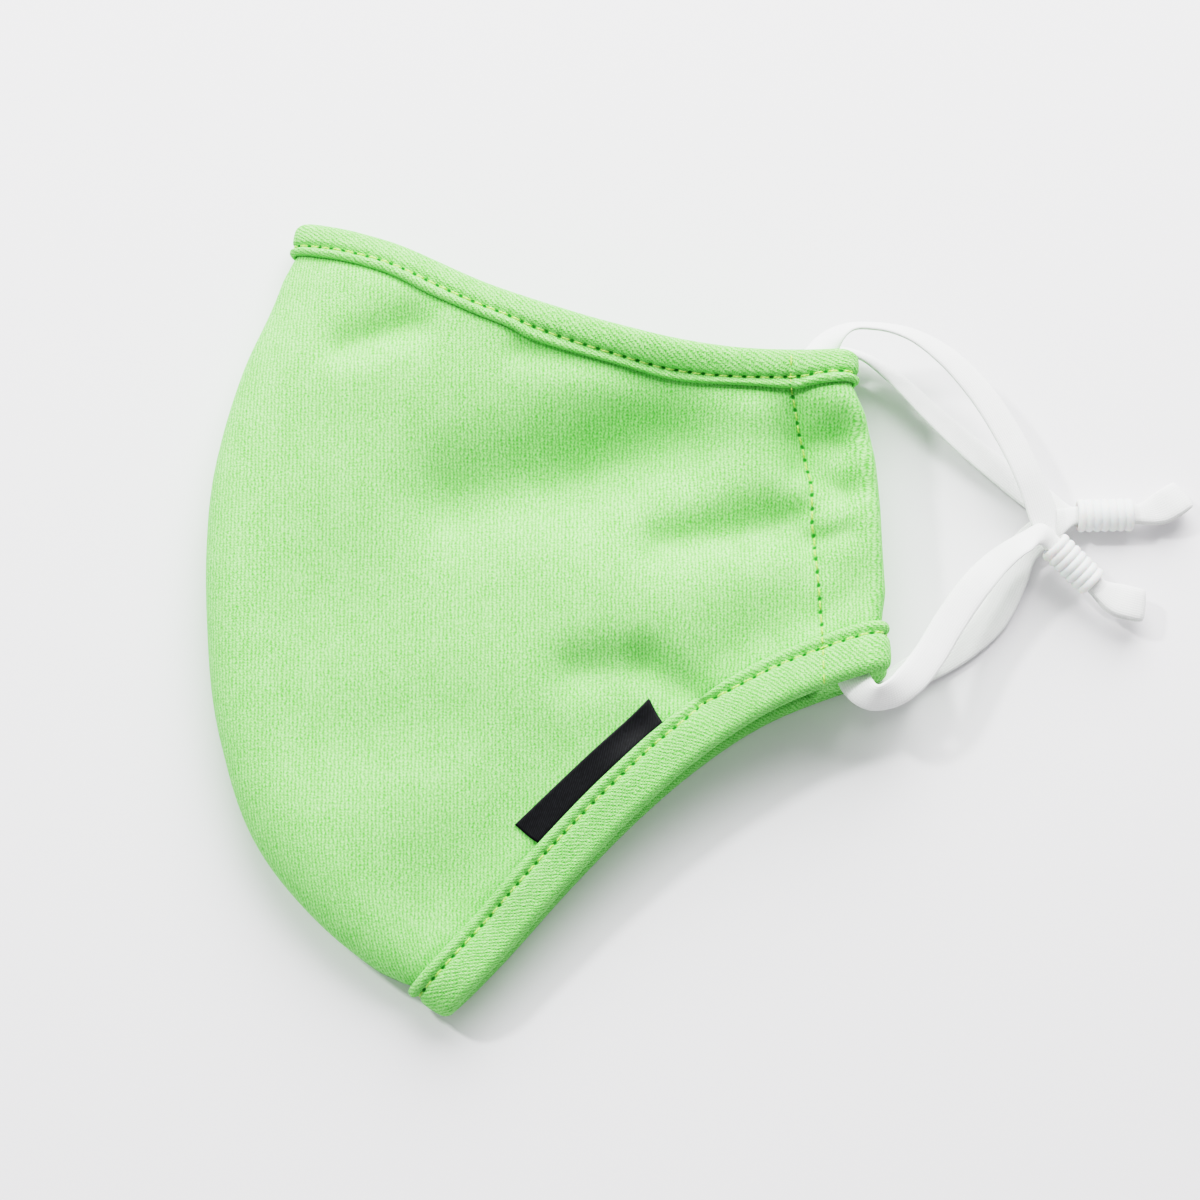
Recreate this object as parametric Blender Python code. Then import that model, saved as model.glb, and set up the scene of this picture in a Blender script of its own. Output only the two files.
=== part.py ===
"""Cloth face mask, folded flat along its centre seam and lying on its left side.

Two halves of knitted cloth meet at the centre seam. The ear end of each half is folded in as a
casing, and a strip of binding cloth runs along the whole upper edge and the whole lower edge.
A flat elastic band passes through each casing and, doubled, through a ribbed sliding adjuster.
A small woven label is caught under the lower binding.

+X points from the seam to the ears, +Y from chin to nose and +Z up from the table. The origin
lies on the flat underside of the left half. Lengths are in millimetres and turned into metres
where a mesh is made.
"""

import math
from collections import namedtuple

import bpy
import numpy as np

MILLIMETRE = 0.001

# Outline of one half, seen from above
NOSE_TO_CHIN = 153.6
EAR_HEIGHT = 60.0
EAR_REACH = 92.6
EAR_RISE = 17.1
SEAM_LEAN = 11.2
EAR_LEAN = 4.8
SEAM_MIDDLE = (-33.1, 2.4)

# A point of a curved edge: how far along the straight line between the two ends it lies, and how
# far to the left of that line, both as shares of the line's length
Bend = namedtuple("Bend", "along left")
SEAM_BENDS = (
    Bend(along=0.050, left=0.052),
    Bend(along=0.130, left=0.123),
    Bend(along=0.230, left=0.180),
    Bend(along=0.380, left=0.206),
    Bend(along=0.540, left=0.194),
    Bend(along=0.700, left=0.158),
    Bend(along=0.820, left=0.101),
    Bend(along=0.920, left=0.038),
)
UPPER_BENDS = (
    Bend(along=0.160, left=-0.011),
    Bend(along=0.380, left=-0.054),
    Bend(along=0.600, left=-0.070),
    Bend(along=0.800, left=-0.057),
    Bend(along=0.920, left=-0.027),
)
LOWER_BENDS = (
    Bend(along=0.140, left=0.020),
    Bend(along=0.330, left=0.054),
    Bend(along=0.500, left=0.076),
    Bend(along=0.620, left=0.082),
    Bend(along=0.780, left=0.070),
    Bend(along=0.910, left=0.034),
)
EAR_BENDS = (
    Bend(along=0.120, left=-0.011),
    Bend(along=0.350, left=-0.019),
    Bend(along=0.680, left=-0.023),
    Bend(along=0.800, left=-0.006),
    Bend(along=0.900, left=0.007),
)

# Cloth
CLOTH = 1.6
CLOTH_IN_BINDING = 1.0
BINDING_CLOTH = 1.0
UPPER_BINDING_WIDTH = 6.6
LOWER_BINDING_WIDTH = 8.8
BINDING_EASE = 6.5
GAP = 0.3
TABLE_GAP = 0.1

# Heights above the table of the middle of the cloth
SEAM_HEIGHT_AT_CORNERS = 5.6
SEAM_HEIGHT_IN_MIDDLE = 8.4
TURN_REACH_AT_CORNERS = 4.5
TURN_REACH_IN_MIDDLE = 8.5
RIGHT_HEIGHT_AT_CORNERS = 9.3
RIGHT_HEIGHT_BY_SEAM = 14.2
RIGHT_HEIGHT_AT_EAR_CORNERS = 18.0
RIGHT_HEIGHT_AT_EAR_MIDDLE = 15.2
CROWN = 2.6
LEFT_EDGE_RUN = 14.0

# Folds of the right half. from_u and to_u are shares of the way from seam to ear, from_v and to_v
# of the way from lower to upper edge; width is a share of NOSE_TO_CHIN and height of FOLD_HEIGHT
FOLD_HEIGHT = 3.0
Fold = namedtuple("Fold", "from_u from_v to_u to_v width height")
FOLDS = (
    Fold(from_u=0.25, from_v=0.74, to_u=0.66, to_v=0.71, width=0.078, height=-1.25),
    Fold(from_u=0.22, from_v=1.00, to_u=0.76, to_v=1.00, width=0.066, height=0.75),
    Fold(from_u=0.62, from_v=0.38, to_u=0.72, to_v=0.20, width=0.040, height=-0.95),
    Fold(from_u=0.66, from_v=0.24, to_u=0.80, to_v=0.10, width=0.036, height=0.50),
    Fold(from_u=0.15, from_v=0.42, to_u=0.55, to_v=0.46, width=0.080, height=0.40),
    Fold(from_u=0.76, from_v=0.60, to_u=0.84, to_v=0.62, width=0.040, height=-0.45),
    Fold(from_u=0.90, from_v=0.70, to_u=0.99, to_v=0.69, width=0.048, height=-0.30),
)

# Casing at the ear
HEM_WIDTH = 12.6
HEM_ALLOWANCE = 1.5
HEM_CLOSING = 2.1

# Elastic band
ELASTIC_WIDTH = 6.0
ELASTIC_THICKNESS = 1.2
ELASTIC_SQUEEZED_WIDTH = 3.2
CHANNEL = ELASTIC_THICKNESS + 2 * GAP
ELASTIC_INSET = HEM_WIDTH - HEM_CLOSING - GAP - ELASTIC_WIDTH / 2

# Adjusters: ribbed silicone sleeves round both strands of a band. x and y are from the middle of
# the ear end
ADJUSTER_LENGTH = 10.4
ADJUSTER_DIAMETER = 6.2
ADJUSTER_RIBS = 7
ADJUSTER_GROOVE = 0.45
ADJUSTER_BORE = 4.7
RIGHT_ADJUSTER_START = (34.1, -4.9, 7.2)
RIGHT_ADJUSTER_HEADING = -43.8
RIGHT_ADJUSTER_DIP = -9.0
LEFT_ADJUSTER_START = (39.3, 1.6, ADJUSTER_DIAMETER / 2 + TABLE_GAP)
LEFT_ADJUSTER_HEADING = 1.0
LEFT_ADJUSTER_DIP = 0.0
TAIL_LENGTH = 8.0
TAIL_LOOP = 1.5
TAIL_BEND = 2.6

# Route of the free elastic: the middle of the band, with x and y from the middle of the ear end,
# the direction in plan in which its width points and how far that direction tips up, in degrees.
# The right band turns over once at the lower mouth of its casing
Strand = namedtuple("Strand", "x y z heading tip")
RIGHT_HALF_TURNS = -1
LEFT_HALF_TURNS = 0
RIGHT_UPPER_STRAND = (
    Strand(-7.3, 32.7, 15.3, -25, 40),
    Strand(-4.1, 34.8, 15.0, -62, 62),
    Strand(1.2, 35.3, 14.2, -92, 65),
    Strand(7.4, 34.3, 13.0, -110, 55),
    Strand(14.1, 30.5, 11.8, -128, 38),
    Strand(19.8, 24.8, 10.9, -138, 27),
    Strand(25.4, 16.5, 9.9, -149, 22),
    Strand(29.6, 8.0, 9.0, -155, 20),
    Strand(32.4, 0.7, 7.3, -150, 10),
)
RIGHT_LOWER_STRAND = (
    Strand(31.7, -3.6, 9.6, -112, 25),
    Strand(28.4, -5.2, 10.4, -84, 40),
    Strand(23.6, -8.6, 10.2, -58, 32),
    Strand(19.0, -13.5, 10.7, -43, 14),
    Strand(13.9, -20.7, 11.2, -35, 4),
    Strand(9.7, -27.5, 12.4, -38, -4),
    Strand(6.1, -31.9, 13.9, -52, -16),
    Strand(2.7, -34.5, 15.2, -76, -38),
    Strand(-0.7, -35.3, 15.8, -116, -46),
)
LEFT_UPPER_STRAND = (
    Strand(-8.9, 32.1, 4.9, -28, 45),
    Strand(-5.9, 33.4, 5.0, -75, 68),
    Strand(-1.0, 32.4, 4.7, -112, 64),
    Strand(4.7, 28.8, 4.1, -127, 52),
    Strand(11.8, 22.1, 3.4, -133, 40),
    Strand(18.2, 16.2, 2.8, -132, 30),
    Strand(25.5, 10.2, 2.3, -128, 20),
    Strand(31.9, 5.4, 1.7, -119, 10),
    Strand(36.1, 2.8, 1.7, -105, 4),
)
LEFT_LOWER_STRAND = (
    Strand(36.1, 0.4, 4.0, -75, 4),
    Strand(32.1, -1.9, 3.1, -55, 6),
    Strand(28.9, -5.1, 1.7, -36, 4),
    Strand(27.1, -9.7, 1.4, -18, 4),
    Strand(25.7, -12.9, 1.3, -22, 4),
    Strand(23.2, -17.4, 1.2, -32, 2),
    Strand(18.8, -21.7, 1.2, -45, 0),
    Strand(13.3, -25.4, 1.3, -56, 0),
    Strand(7.7, -28.2, 1.7, -66, 0),
    Strand(2.7, -33.4, 2.9, -52, 35),
    Strand(-1.1, -35.9, 2.9, -25, 10),
    Strand(-3.0, -36.7, 4.0, -8, 0),
    Strand(-3.3, -35.2, 5.2, 5, 0),
)

# Label
LABEL_LENGTH = 30.3
LABEL_SHOWN = 5.6
LABEL_TUCK = 2.6
LABEL_THICKNESS = 0.4
LABEL_FROM_CHIN = 36.0

# Rows of the meshes
TURN_ROWS = 4
MAIN_ROWS = 14
FOLD_ROWS = 5
FLAP_ROWS = 2
CROSS_ROWS = 15

# Half thickness of the whole edge, binding included
BINDING_INNER = CLOTH_IN_BINDING / 2 + GAP
BINDING_OUTER = BINDING_INNER + BINDING_CLOTH
RIGHT = 1
LEFT = -1


def smooth(x):
    """0 below 0, 1 above 1, and an S-shaped rise between them."""
    x = np.clip(x, 0, 1)
    return x * x * (3 - 2 * x)


def heading_vector(heading):
    """Plan direction at this many degrees anticlockwise from +X."""
    return np.array([math.cos(math.radians(heading)), math.sin(math.radians(heading))])


EAR_MIDDLE = np.array(SEAM_MIDDLE) + np.array([EAR_REACH, EAR_RISE])


def corners():
    """Chin, nose, lower and upper ear corner in plan, from the sizes of the outline."""
    seam_middle = np.array(SEAM_MIDDLE)
    seam_way = heading_vector(90 + SEAM_LEAN) * NOSE_TO_CHIN / 2
    ear_way = heading_vector(90 + EAR_LEAN) * EAR_HEIGHT / 2
    return seam_middle - seam_way, seam_middle + seam_way, EAR_MIDDLE - ear_way, EAR_MIDDLE + ear_way


def through(knots, share):
    """Smooth curve through the knots, at shares of its length from 0 to 1.

    Each stretch is a cubic whose end slopes are the slopes between the neighbouring knots.
    """
    knots = np.asarray(knots, dtype=float)
    steps = np.linalg.norm(np.diff(knots[:, :2], axis=0), axis=1)
    at = np.concatenate([[0], np.cumsum(steps)]) / steps.sum()
    slopes = np.gradient(knots, at, axis=0)
    share = np.asarray(share, dtype=float)
    index = np.clip(np.searchsorted(at, share, side="right") - 1, 0, len(at) - 2)
    length = (at[index + 1] - at[index])[..., None]
    t = (share - at[index])[..., None] / length
    return (
        (2 * t**3 - 3 * t**2 + 1) * knots[index]
        + (t**3 - 2 * t**2 + t) * length * slopes[index]
        + (3 * t**2 - 2 * t**3) * knots[index + 1]
        + (t**3 - t**2) * length * slopes[index + 1]
    )


def bent_edge(start, end, bends):
    """Knots of an edge from start to end through its bends."""
    line = end - start
    left = np.array([-line[1], line[0]])
    return [start, *(start + bend.along * line + bend.left * left for bend in bends), end]


CHIN, NOSE, EAR_LOW, EAR_HIGH = corners()
SEAM_EDGE = bent_edge(CHIN, NOSE, SEAM_BENDS)
EAR_EDGE = bent_edge(EAR_LOW, EAR_HIGH, EAR_BENDS)
LOWER_EDGE = bent_edge(CHIN, EAR_LOW, LOWER_BENDS)
UPPER_EDGE = bent_edge(NOSE, EAR_HIGH, UPPER_BENDS)


def plan(u, v):
    """Plan point at share u from seam to ear and share v from lower to upper edge.

    The patch adds what lies between the two pairs of facing edges and takes off the flat
    four-cornered patch that both of them hold.
    """
    u, v = np.broadcast_arrays(np.asarray(u, dtype=float), np.asarray(v, dtype=float))
    across, up = u[..., None], v[..., None]
    between_lower_upper = (1 - up) * through(LOWER_EDGE, u) + up * through(UPPER_EDGE, u)
    between_seam_ear = (1 - across) * through(SEAM_EDGE, v) + across * through(EAR_EDGE, v)
    low = (1 - across) * CHIN + across * EAR_LOW
    high = (1 - across) * NOSE + across * EAR_HIGH
    return between_lower_upper + between_seam_ear - (1 - up) * low - up * high


def plan_slopes(u, v):
    """Change of the plan point for each unit of u and of v."""
    step = 0.004
    u_low, u_high = np.clip(u - step, 0, 1), np.clip(u + step, 0, 1)
    v_low, v_high = np.clip(v - step, 0, 1), np.clip(v + step, 0, 1)
    by_u = (plan(u_high, v) - plan(u_low, v)) / (u_high - u_low)[..., None]
    by_v = (plan(u, v_high) - plan(u, v_low)) / (v_high - v_low)[..., None]
    return by_u, by_v


def edge_rate(u, v):
    """Millimetres away from the lower or upper edge for each unit of v, square to the edge."""
    by_u, by_v = plan_slopes(u, v)
    area = np.abs(by_u[..., 0] * by_v[..., 1] - by_u[..., 1] * by_v[..., 0])
    return area / np.linalg.norm(by_u, axis=-1)


def past_binding(u, v):
    """Distance past the lip of the nearer binding, below 0 inside the binding."""
    u, v = np.broadcast_arrays(np.asarray(u, dtype=float), np.asarray(v, dtype=float))
    rate = edge_rate(u, v)
    return np.minimum(v * rate - LOWER_BINDING_WIDTH, (1 - v) * rate - UPPER_BINDING_WIDTH)


def half_cloth(past):
    """Half the cloth's thickness: it is pressed thinner inside the binding."""
    rise = smooth(past / CLOTH)
    return CLOTH_IN_BINDING / 2 + (CLOTH - CLOTH_IN_BINDING) / 2 * rise


def half_edge(past):
    """Half the thickness with the binding on it, easing to the bare cloth's past the binding."""
    fall = smooth((past - GAP) / BINDING_EASE)
    return BINDING_OUTER + (CLOTH / 2 - BINDING_OUTER) * fall


def fold_share(u, v):
    """Height of all folds of the right half together, as a share of FOLD_HEIGHT.

    Each fold is a rounded ridge or valley round the straight line between its two ends.
    """
    point = plan(u, v)
    total = np.zeros(point.shape[:-1])
    for fold in FOLDS:
        start = plan(fold.from_u, fold.from_v)
        line = plan(fold.to_u, fold.to_v) - start
        along = np.clip((point - start) @ line / (line @ line), 0, 1)[..., None]
        away = np.linalg.norm(point - start - along * line, axis=-1)
        total += fold.height * np.exp(-((away / (fold.width * NOSE_TO_CHIN)) ** 2))
    return total


def level(side, u, v):
    """Height of the middle of the cloth, clear of the turn at the seam."""
    if side == LEFT:
        at_edge = BINDING_OUTER + TABLE_GAP - CLOTH / 2
        inward = smooth((past_binding(u, v) - GAP) / LEFT_EDGE_RUN)
        return CLOTH / 2 + at_edge * (1 - inward)
    bulge = np.sin(math.pi * v)
    by_seam = RIGHT_HEIGHT_AT_CORNERS + (RIGHT_HEIGHT_BY_SEAM - RIGHT_HEIGHT_AT_CORNERS) * bulge
    sag = RIGHT_HEIGHT_AT_EAR_CORNERS - RIGHT_HEIGHT_AT_EAR_MIDDLE
    by_ear = RIGHT_HEIGHT_AT_EAR_CORNERS - sag * bulge
    crown = CROWN * np.sin(math.pi * u) * bulge
    calm = smooth(u / 0.2)
    return by_seam * (1 - u) + by_ear * u + crown + FOLD_HEIGHT * fold_share(u, v) * calm


def share_at(a, start, turned, fold, ear_rate):
    """Share u for a place along a half, from the shares where its turn and its ear fold begin."""
    opened = 1 - (HEM_WIDTH - HEM_CLOSING) / ear_rate
    raw = 1 - (HEM_WIDTH + HEM_ALLOWANCE) / ear_rate
    u = start + (turned - start) * (1 - np.cos(np.clip(a, -1, 1) * math.pi / 2))
    u = u + (fold - turned) * np.clip(a - 1, 0, 1)
    u = u - (fold - opened) * np.clip(a - 3, 0, 1)
    return u - (opened - raw) * np.clip(a - 4, 0, 1)


def half_surface(side, a, v):
    """Middle of one half's cloth.

    a runs from 0 at the seam to 1 at the end of the turn there, 2 at the start of the ear fold,
    3 at its end, 4 where the flap starts to close on the stitches and 5 at its raw edge. The turn
    is a quarter of an ellipse and the ear fold half a circle.
    """
    a, v = np.broadcast_arrays(np.asarray(a, dtype=float), np.asarray(v, dtype=float))
    zero, one = np.zeros_like(v), np.ones_like(v)
    seam_rate = np.linalg.norm(plan_slopes(zero, v)[0], axis=-1)
    ear_slope = plan_slopes(one, v)[0]
    ear_rate = np.linalg.norm(ear_slope, axis=-1)
    bulge = np.sin(math.pi * v)
    half_seam = half_edge(past_binding(zero, v))
    half_ear = half_edge(past_binding(one, v))

    reach = TURN_REACH_AT_CORNERS + (TURN_REACH_IN_MIDDLE - TURN_REACH_AT_CORNERS) * bulge
    start = half_seam / seam_rate
    turned = start + reach / seam_rate
    fold = 1 - (2 * half_ear + CHANNEL / 2) / ear_rate
    u = share_at(a, start, turned, fold, ear_rate)
    radius = half_edge(past_binding(u, v)) + CHANNEL / 2
    turning = np.clip(a, -1, 1) * math.pi / 2
    folding = np.clip(a - 2, 0, 1) * math.pi

    outward = ear_slope / ear_rate[..., None]
    point = plan(u, v) + outward * (radius * np.sin(folding))[..., None]
    seam = SEAM_HEIGHT_AT_CORNERS + (SEAM_HEIGHT_IN_MIDDLE - SEAM_HEIGHT_AT_CORNERS) * bulge
    height = level(side, u, v)
    height = np.where(a < 1, seam + (height - seam) * np.sin(turning), height)
    drop = radius * (1 - np.cos(folding)) - (CHANNEL - GAP) * np.clip(a - 4, 0, 1)
    return np.concatenate([point, (height - side * drop)[..., None]], axis=-1)


def half_normal(side, a, v):
    """Outward normal of the middle of one half's cloth."""
    step = 0.002
    v_low, v_high = np.clip(v - step, 0, 1), np.clip(v + step, 0, 1)
    by_a = half_surface(side, np.minimum(a + step, 5), v) - half_surface(side, a - step, v)
    by_v = half_surface(side, a, v_high) - half_surface(side, a, v_low)
    normal = side * np.cross(by_a, by_v)
    return normal / np.linalg.norm(normal, axis=-1, keepdims=True)


def share_by_edge(a):
    """Share u for a place along a half, close to its lower or upper edge."""
    zero, one = np.zeros_like(a), np.ones_like(a)
    seam_rate = np.linalg.norm(plan_slopes(zero, zero)[0], axis=-1)
    ear_rate = np.linalg.norm(plan_slopes(one, zero)[0], axis=-1)
    start = BINDING_OUTER / seam_rate
    turned = start + TURN_REACH_AT_CORNERS / seam_rate
    fold = 1 - (2 * BINDING_OUTER + CHANNEL / 2) / ear_rate
    return share_at(a, start, turned, fold, ear_rate)


def lower_share(a, distance):
    """Share v at this distance in from the lower outline."""
    u = share_by_edge(a)
    return distance / edge_rate(u, np.zeros_like(u))


def upper_share(a, distance):
    """Share v at this distance in from the upper outline."""
    u = share_by_edge(a)
    return 1 - distance / edge_rate(u, np.ones_like(u))


def stations():
    """Places along one half from its seam to the raw edge of its flap."""
    rows = (TURN_ROWS, MAIN_ROWS, FOLD_ROWS, FLAP_ROWS, FLAP_ROWS)
    parts = [np.arange(count) / count + part for part, count in enumerate(rows)]
    return np.concatenate([*parts, [len(rows)]])


def mesh_object(name, vertices, faces, material, is_smooth=False):
    """A named object from vertices in millimetres and faces whose corners run anticlockwise."""
    mesh = bpy.data.meshes.new(name)
    mesh.from_pydata((np.asarray(vertices) * MILLIMETRE).tolist(), [], faces)
    mesh.polygons.foreach_set("use_smooth", [is_smooth] * len(mesh.polygons))
    mesh.materials.append(material)
    mesh.update()
    thing = bpy.data.objects.new(name, mesh)
    bpy.context.scene.collection.objects.link(thing)
    return thing


def material(name, colour, roughness, metallic=0.0):
    """A plain surface with this linear colour."""
    made = bpy.data.materials.new(name)
    made.use_nodes = True
    shader = made.node_tree.nodes["Principled BSDF"]
    shader.inputs["Base Color"].default_value = (*colour, 1)
    shader.inputs["Roughness"].default_value = roughness
    shader.inputs["Metallic"].default_value = metallic
    made.diffuse_color = (*colour, 1)
    return made


def grid_faces(rows, columns, first, is_flipped):
    """Four-cornered faces of a grid of vertices that starts at this index."""
    faces = []
    for row in range(rows - 1):
        for column in range(columns - 1):
            corner = first + row * columns + column
            face = (corner, corner + columns, corner + columns + 1, corner + 1)
            faces.append(face[::-1] if is_flipped else face)
    return faces


def thick_sheet(middle, normal, half, is_flipped):
    """Vertices and faces of a closed sheet round the middle surface."""
    rows, columns = middle.shape[:2]
    outer = middle + normal * half[..., None]
    inner = middle - normal * half[..., None]
    outer[..., 2] = np.where(np.abs(outer[..., 2]) < 1e-6, 0, outer[..., 2])
    count = rows * columns
    faces = grid_faces(rows, columns, 0, is_flipped) + grid_faces(rows, columns, count, not is_flipped)
    border = [column for column in range(columns)]
    border += [row * columns + columns - 1 for row in range(1, rows)]
    border += [(rows - 1) * columns + column for column in range(columns - 2, -1, -1)]
    border += [row * columns for row in range(rows - 2, 0, -1)]
    for here, there in zip(border, border[1:] + border[:1]):
        face = (here, there, count + there, count + here)
        faces.append(face[::-1] if is_flipped else face)
    return np.concatenate([outer.reshape(-1, 3), inner.reshape(-1, 3)]), faces


def swept_faces(stations, ring, is_closed, shift=0):
    """Faces of a ring of vertices carried along stations.

    Where it is closed, the last ring joins the first one with its corners shifted by so many.
    Where it isn't, each end cap joins the ring's first half to its second, pair by pair.
    """
    faces = []
    last = stations if is_closed else stations - 1
    for station in range(last):
        here, there = station * ring, (station + 1) % stations * ring
        turn = shift if station == stations - 1 else 0
        for corner in range(ring):
            beside = (corner + 1) % ring
            facing, facing_beside = (corner + turn) % ring, (beside + turn) % ring
            faces.append((here + corner, here + beside, there + facing_beside, there + facing))
    if not is_closed:
        for corner in range(ring // 2 - 1):
            facing = ring - 1 - corner
            cap = (corner, corner + 1, facing - 1, facing)
            faces.append(cap[::-1])
            faces.append(tuple((stations - 1) * ring + index for index in cap))
    return faces


def make_half(name, side, cloth):
    """One half: a sheet from the seam over the ear fold to the raw edge of its flap."""
    a = stations()
    rim = BINDING_CLOTH + GAP
    low_lip, high_lip = LOWER_BINDING_WIDTH, UPPER_BINDING_WIDTH
    lower = [lower_share(a, distance) for distance in (rim, low_lip / 2, low_lip, low_lip + CLOTH)]
    upper = [upper_share(a, distance) for distance in (high_lip + CLOTH, high_lip, rim)]
    share = np.linspace(0, 1, CROSS_ROWS + 1)[1:-1]
    between = [lower[-1] + (upper[0] - lower[-1]) * part for part in share]
    v = np.stack([*lower, *between, *upper], axis=1)
    along = np.broadcast_to(a[:, None], v.shape)
    middle = half_surface(side, along, v)
    normal = half_normal(side, along, v)
    middle[0, :, 2] += side * GAP / 2
    u = np.broadcast_to(share_by_edge(a)[:, None], v.shape)
    half = half_cloth(past_binding(u, v))
    vertices, faces = thick_sheet(middle, normal, half, is_flipped=side == LEFT)
    return mesh_object(name, vertices, faces, cloth, is_smooth=True)


def no_lift(side, a):
    """The upper binding lies close to the cloth all along."""
    return np.zeros_like(a)


def label_lift(side, a):
    """How far the binding's outer leg is lifted where the label's edge is caught under it."""
    if side == LEFT:
        return np.zeros_like(a)
    from_chin = lower_lip_length(share_by_edge(a))
    ease = LOWER_BINDING_WIDTH
    before = smooth((from_chin - LABEL_FROM_CHIN + 2 * ease) / ease)
    after = smooth((LABEL_FROM_CHIN + LABEL_LENGTH + 2 * ease - from_chin) / ease)
    step = half_cloth(CLOTH / 2) - half_cloth(0)
    return (step + LABEL_THICKNESS + GAP) * before * after


def lower_lip_length(u):
    """Length along the lip of the lower binding from the seam to share u."""
    shares = np.linspace(0, 1, 400)
    points = plan(shares, LOWER_BINDING_WIDTH / edge_rate(shares, np.zeros_like(shares)))
    lengths = np.concatenate([[0], np.cumsum(np.linalg.norm(np.diff(points, axis=0), axis=1))])
    return np.interp(u, shares, lengths)


def lower_lip_share(length):
    """Share u at this length along the lip of the lower binding from the seam."""
    shares = np.linspace(0, 1, 400)
    return np.interp(length, lower_lip_length(shares), shares)


def binding_section(width, lift):
    """Ring of (distance in from the outline, height off the cloth's middle) round a binding.

    It is a U: outer leg, half-round roll over the cloth's raw edge, inner leg, and back inside.
    """
    leg = width - LABEL_TUCK - GAP
    half = CLOTH_IN_BINDING / 2
    outer = [(width, BINDING_OUTER + lift), (leg, BINDING_OUTER + lift)]
    for turn in np.linspace(0, math.pi, 5):
        outer.append((BINDING_OUTER * (1 - math.sin(turn)), BINDING_OUTER * math.cos(turn)))
    outer += [(leg, -BINDING_OUTER), (width, -BINDING_OUTER)]
    inner = [(width, BINDING_INNER + lift), (leg, BINDING_INNER + lift)]
    inner += [(BINDING_CLOTH + GAP, BINDING_INNER), (BINDING_CLOTH, half), (BINDING_CLOTH, 0)]
    inner += [(BINDING_CLOTH, -half), (BINDING_CLOTH + GAP, -BINDING_INNER)]
    inner += [(leg, -BINDING_INNER), (width, -BINDING_INNER)]
    return np.array(outer + inner[::-1])


def make_binding(name, width, edge_share, lift, is_lower, cloth):
    """A folded strip over one edge, from the right flap round the seam to the left flap."""
    sections = []
    for side in (RIGHT, LEFT):
        a = stations()
        if side == LEFT:
            a = a[1:]
        raised = lift(side, a)
        ring = np.stack([binding_section(width, amount) for amount in raised])
        along = np.broadcast_to(a[:, None], ring.shape[:2])
        v = edge_share(along, ring[..., 0])
        points = half_surface(side, along, v)
        points = points + half_normal(side, along, v) * ring[..., 1:]
        sections.append(points[::-1] if side == RIGHT else points)
    points = np.concatenate(sections)
    faces = swept_faces(len(points), points.shape[1], is_closed=False)
    if is_lower:
        faces = [face[::-1] for face in faces]
    return mesh_object(name, points.reshape(-1, 3), faces, cloth, is_smooth=True)


def past_chord(u):
    """How far the lower binding's lip bulges into the cloth past the chord from end to end."""
    points = plan(u, LOWER_BINDING_WIDTH / edge_rate(u, np.zeros_like(u)))
    chord = (points[-1] - points[0]) / np.linalg.norm(points[-1] - points[0])
    return (points - points[0]) @ np.array([-chord[1], chord[0]])


def make_label(name, woven):
    """A thin straight strip on the right half, its lower long edge caught under the binding."""
    lengths = np.linspace(LABEL_FROM_CHIN, LABEL_FROM_CHIN + LABEL_LENGTH, 9)
    u = lower_lip_share(lengths)
    turned, fold = share_by_edge(np.array([1.0, 2.0]))
    a = 1 + (u - turned) / (fold - turned)
    lip = LOWER_BINDING_WIDTH
    bulge = past_chord(u)
    away = np.linspace(lip - LABEL_TUCK + bulge.max(), lip + LABEL_SHOWN, 6)
    along = np.broadcast_to(a[:, None], (len(a), len(away)))
    distance = away[None, :] - bulge[:, None]
    v = lower_share(along, distance)
    normal = half_normal(RIGHT, along, v)
    lift = half_cloth(distance + CLOTH / 2 - lip) + GAP + LABEL_THICKNESS / 2
    middle = half_surface(RIGHT, along, v) + normal * lift[..., None]
    half = np.full(lift.shape, LABEL_THICKNESS / 2)
    vertices, faces = thick_sheet(middle, normal, half, is_flipped=False)
    return mesh_object(name, vertices, faces, woven)


def casing_route(side):
    """Stations of the band inside a casing, from the lower mouth to the upper one."""
    covered = np.linspace(0, 1, 4)[:-1]
    ease = np.linspace(0, BINDING_EASE + GAP, 5)
    low = np.concatenate([covered * LOWER_BINDING_WIDTH, LOWER_BINDING_WIDTH + ease]) / EAR_HEIGHT
    high = np.concatenate([covered * UPPER_BINDING_WIDTH, UPPER_BINDING_WIDTH + ease]) / EAR_HEIGHT
    v = np.concatenate([low, np.linspace(0.32, 0.72, 6), 1 - high[::-1]])
    slope = plan_slopes(np.ones_like(v), v)[0]
    rate = np.linalg.norm(slope, axis=-1)
    u = 1 - ELASTIC_INSET / rate
    height = level(side, u, v) - side * (half_edge(past_binding(u, v)) + CHANNEL / 2)
    heading = np.degrees(np.arctan2(slope[:, 1], slope[:, 0]))
    beside = ELASTIC_WIDTH / 2 / rate
    rise = level(side, u + beside, v) - level(side, u - beside, v)
    tip = np.degrees(np.arctan2(rise, ELASTIC_WIDTH))
    point = plan(u, v)
    return [Strand(*point[i], height[i], heading[i], tip[i]) for i in range(len(v))]


def adjuster_axis(start, heading, dip):
    """Start, unit direction and heading of the width of an adjuster."""
    origin = np.array([*EAR_MIDDLE, 0]) + start
    flat = heading_vector(heading) * math.cos(math.radians(dip))
    return origin, np.array([*flat, math.sin(math.radians(dip))]), heading - 90


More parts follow.
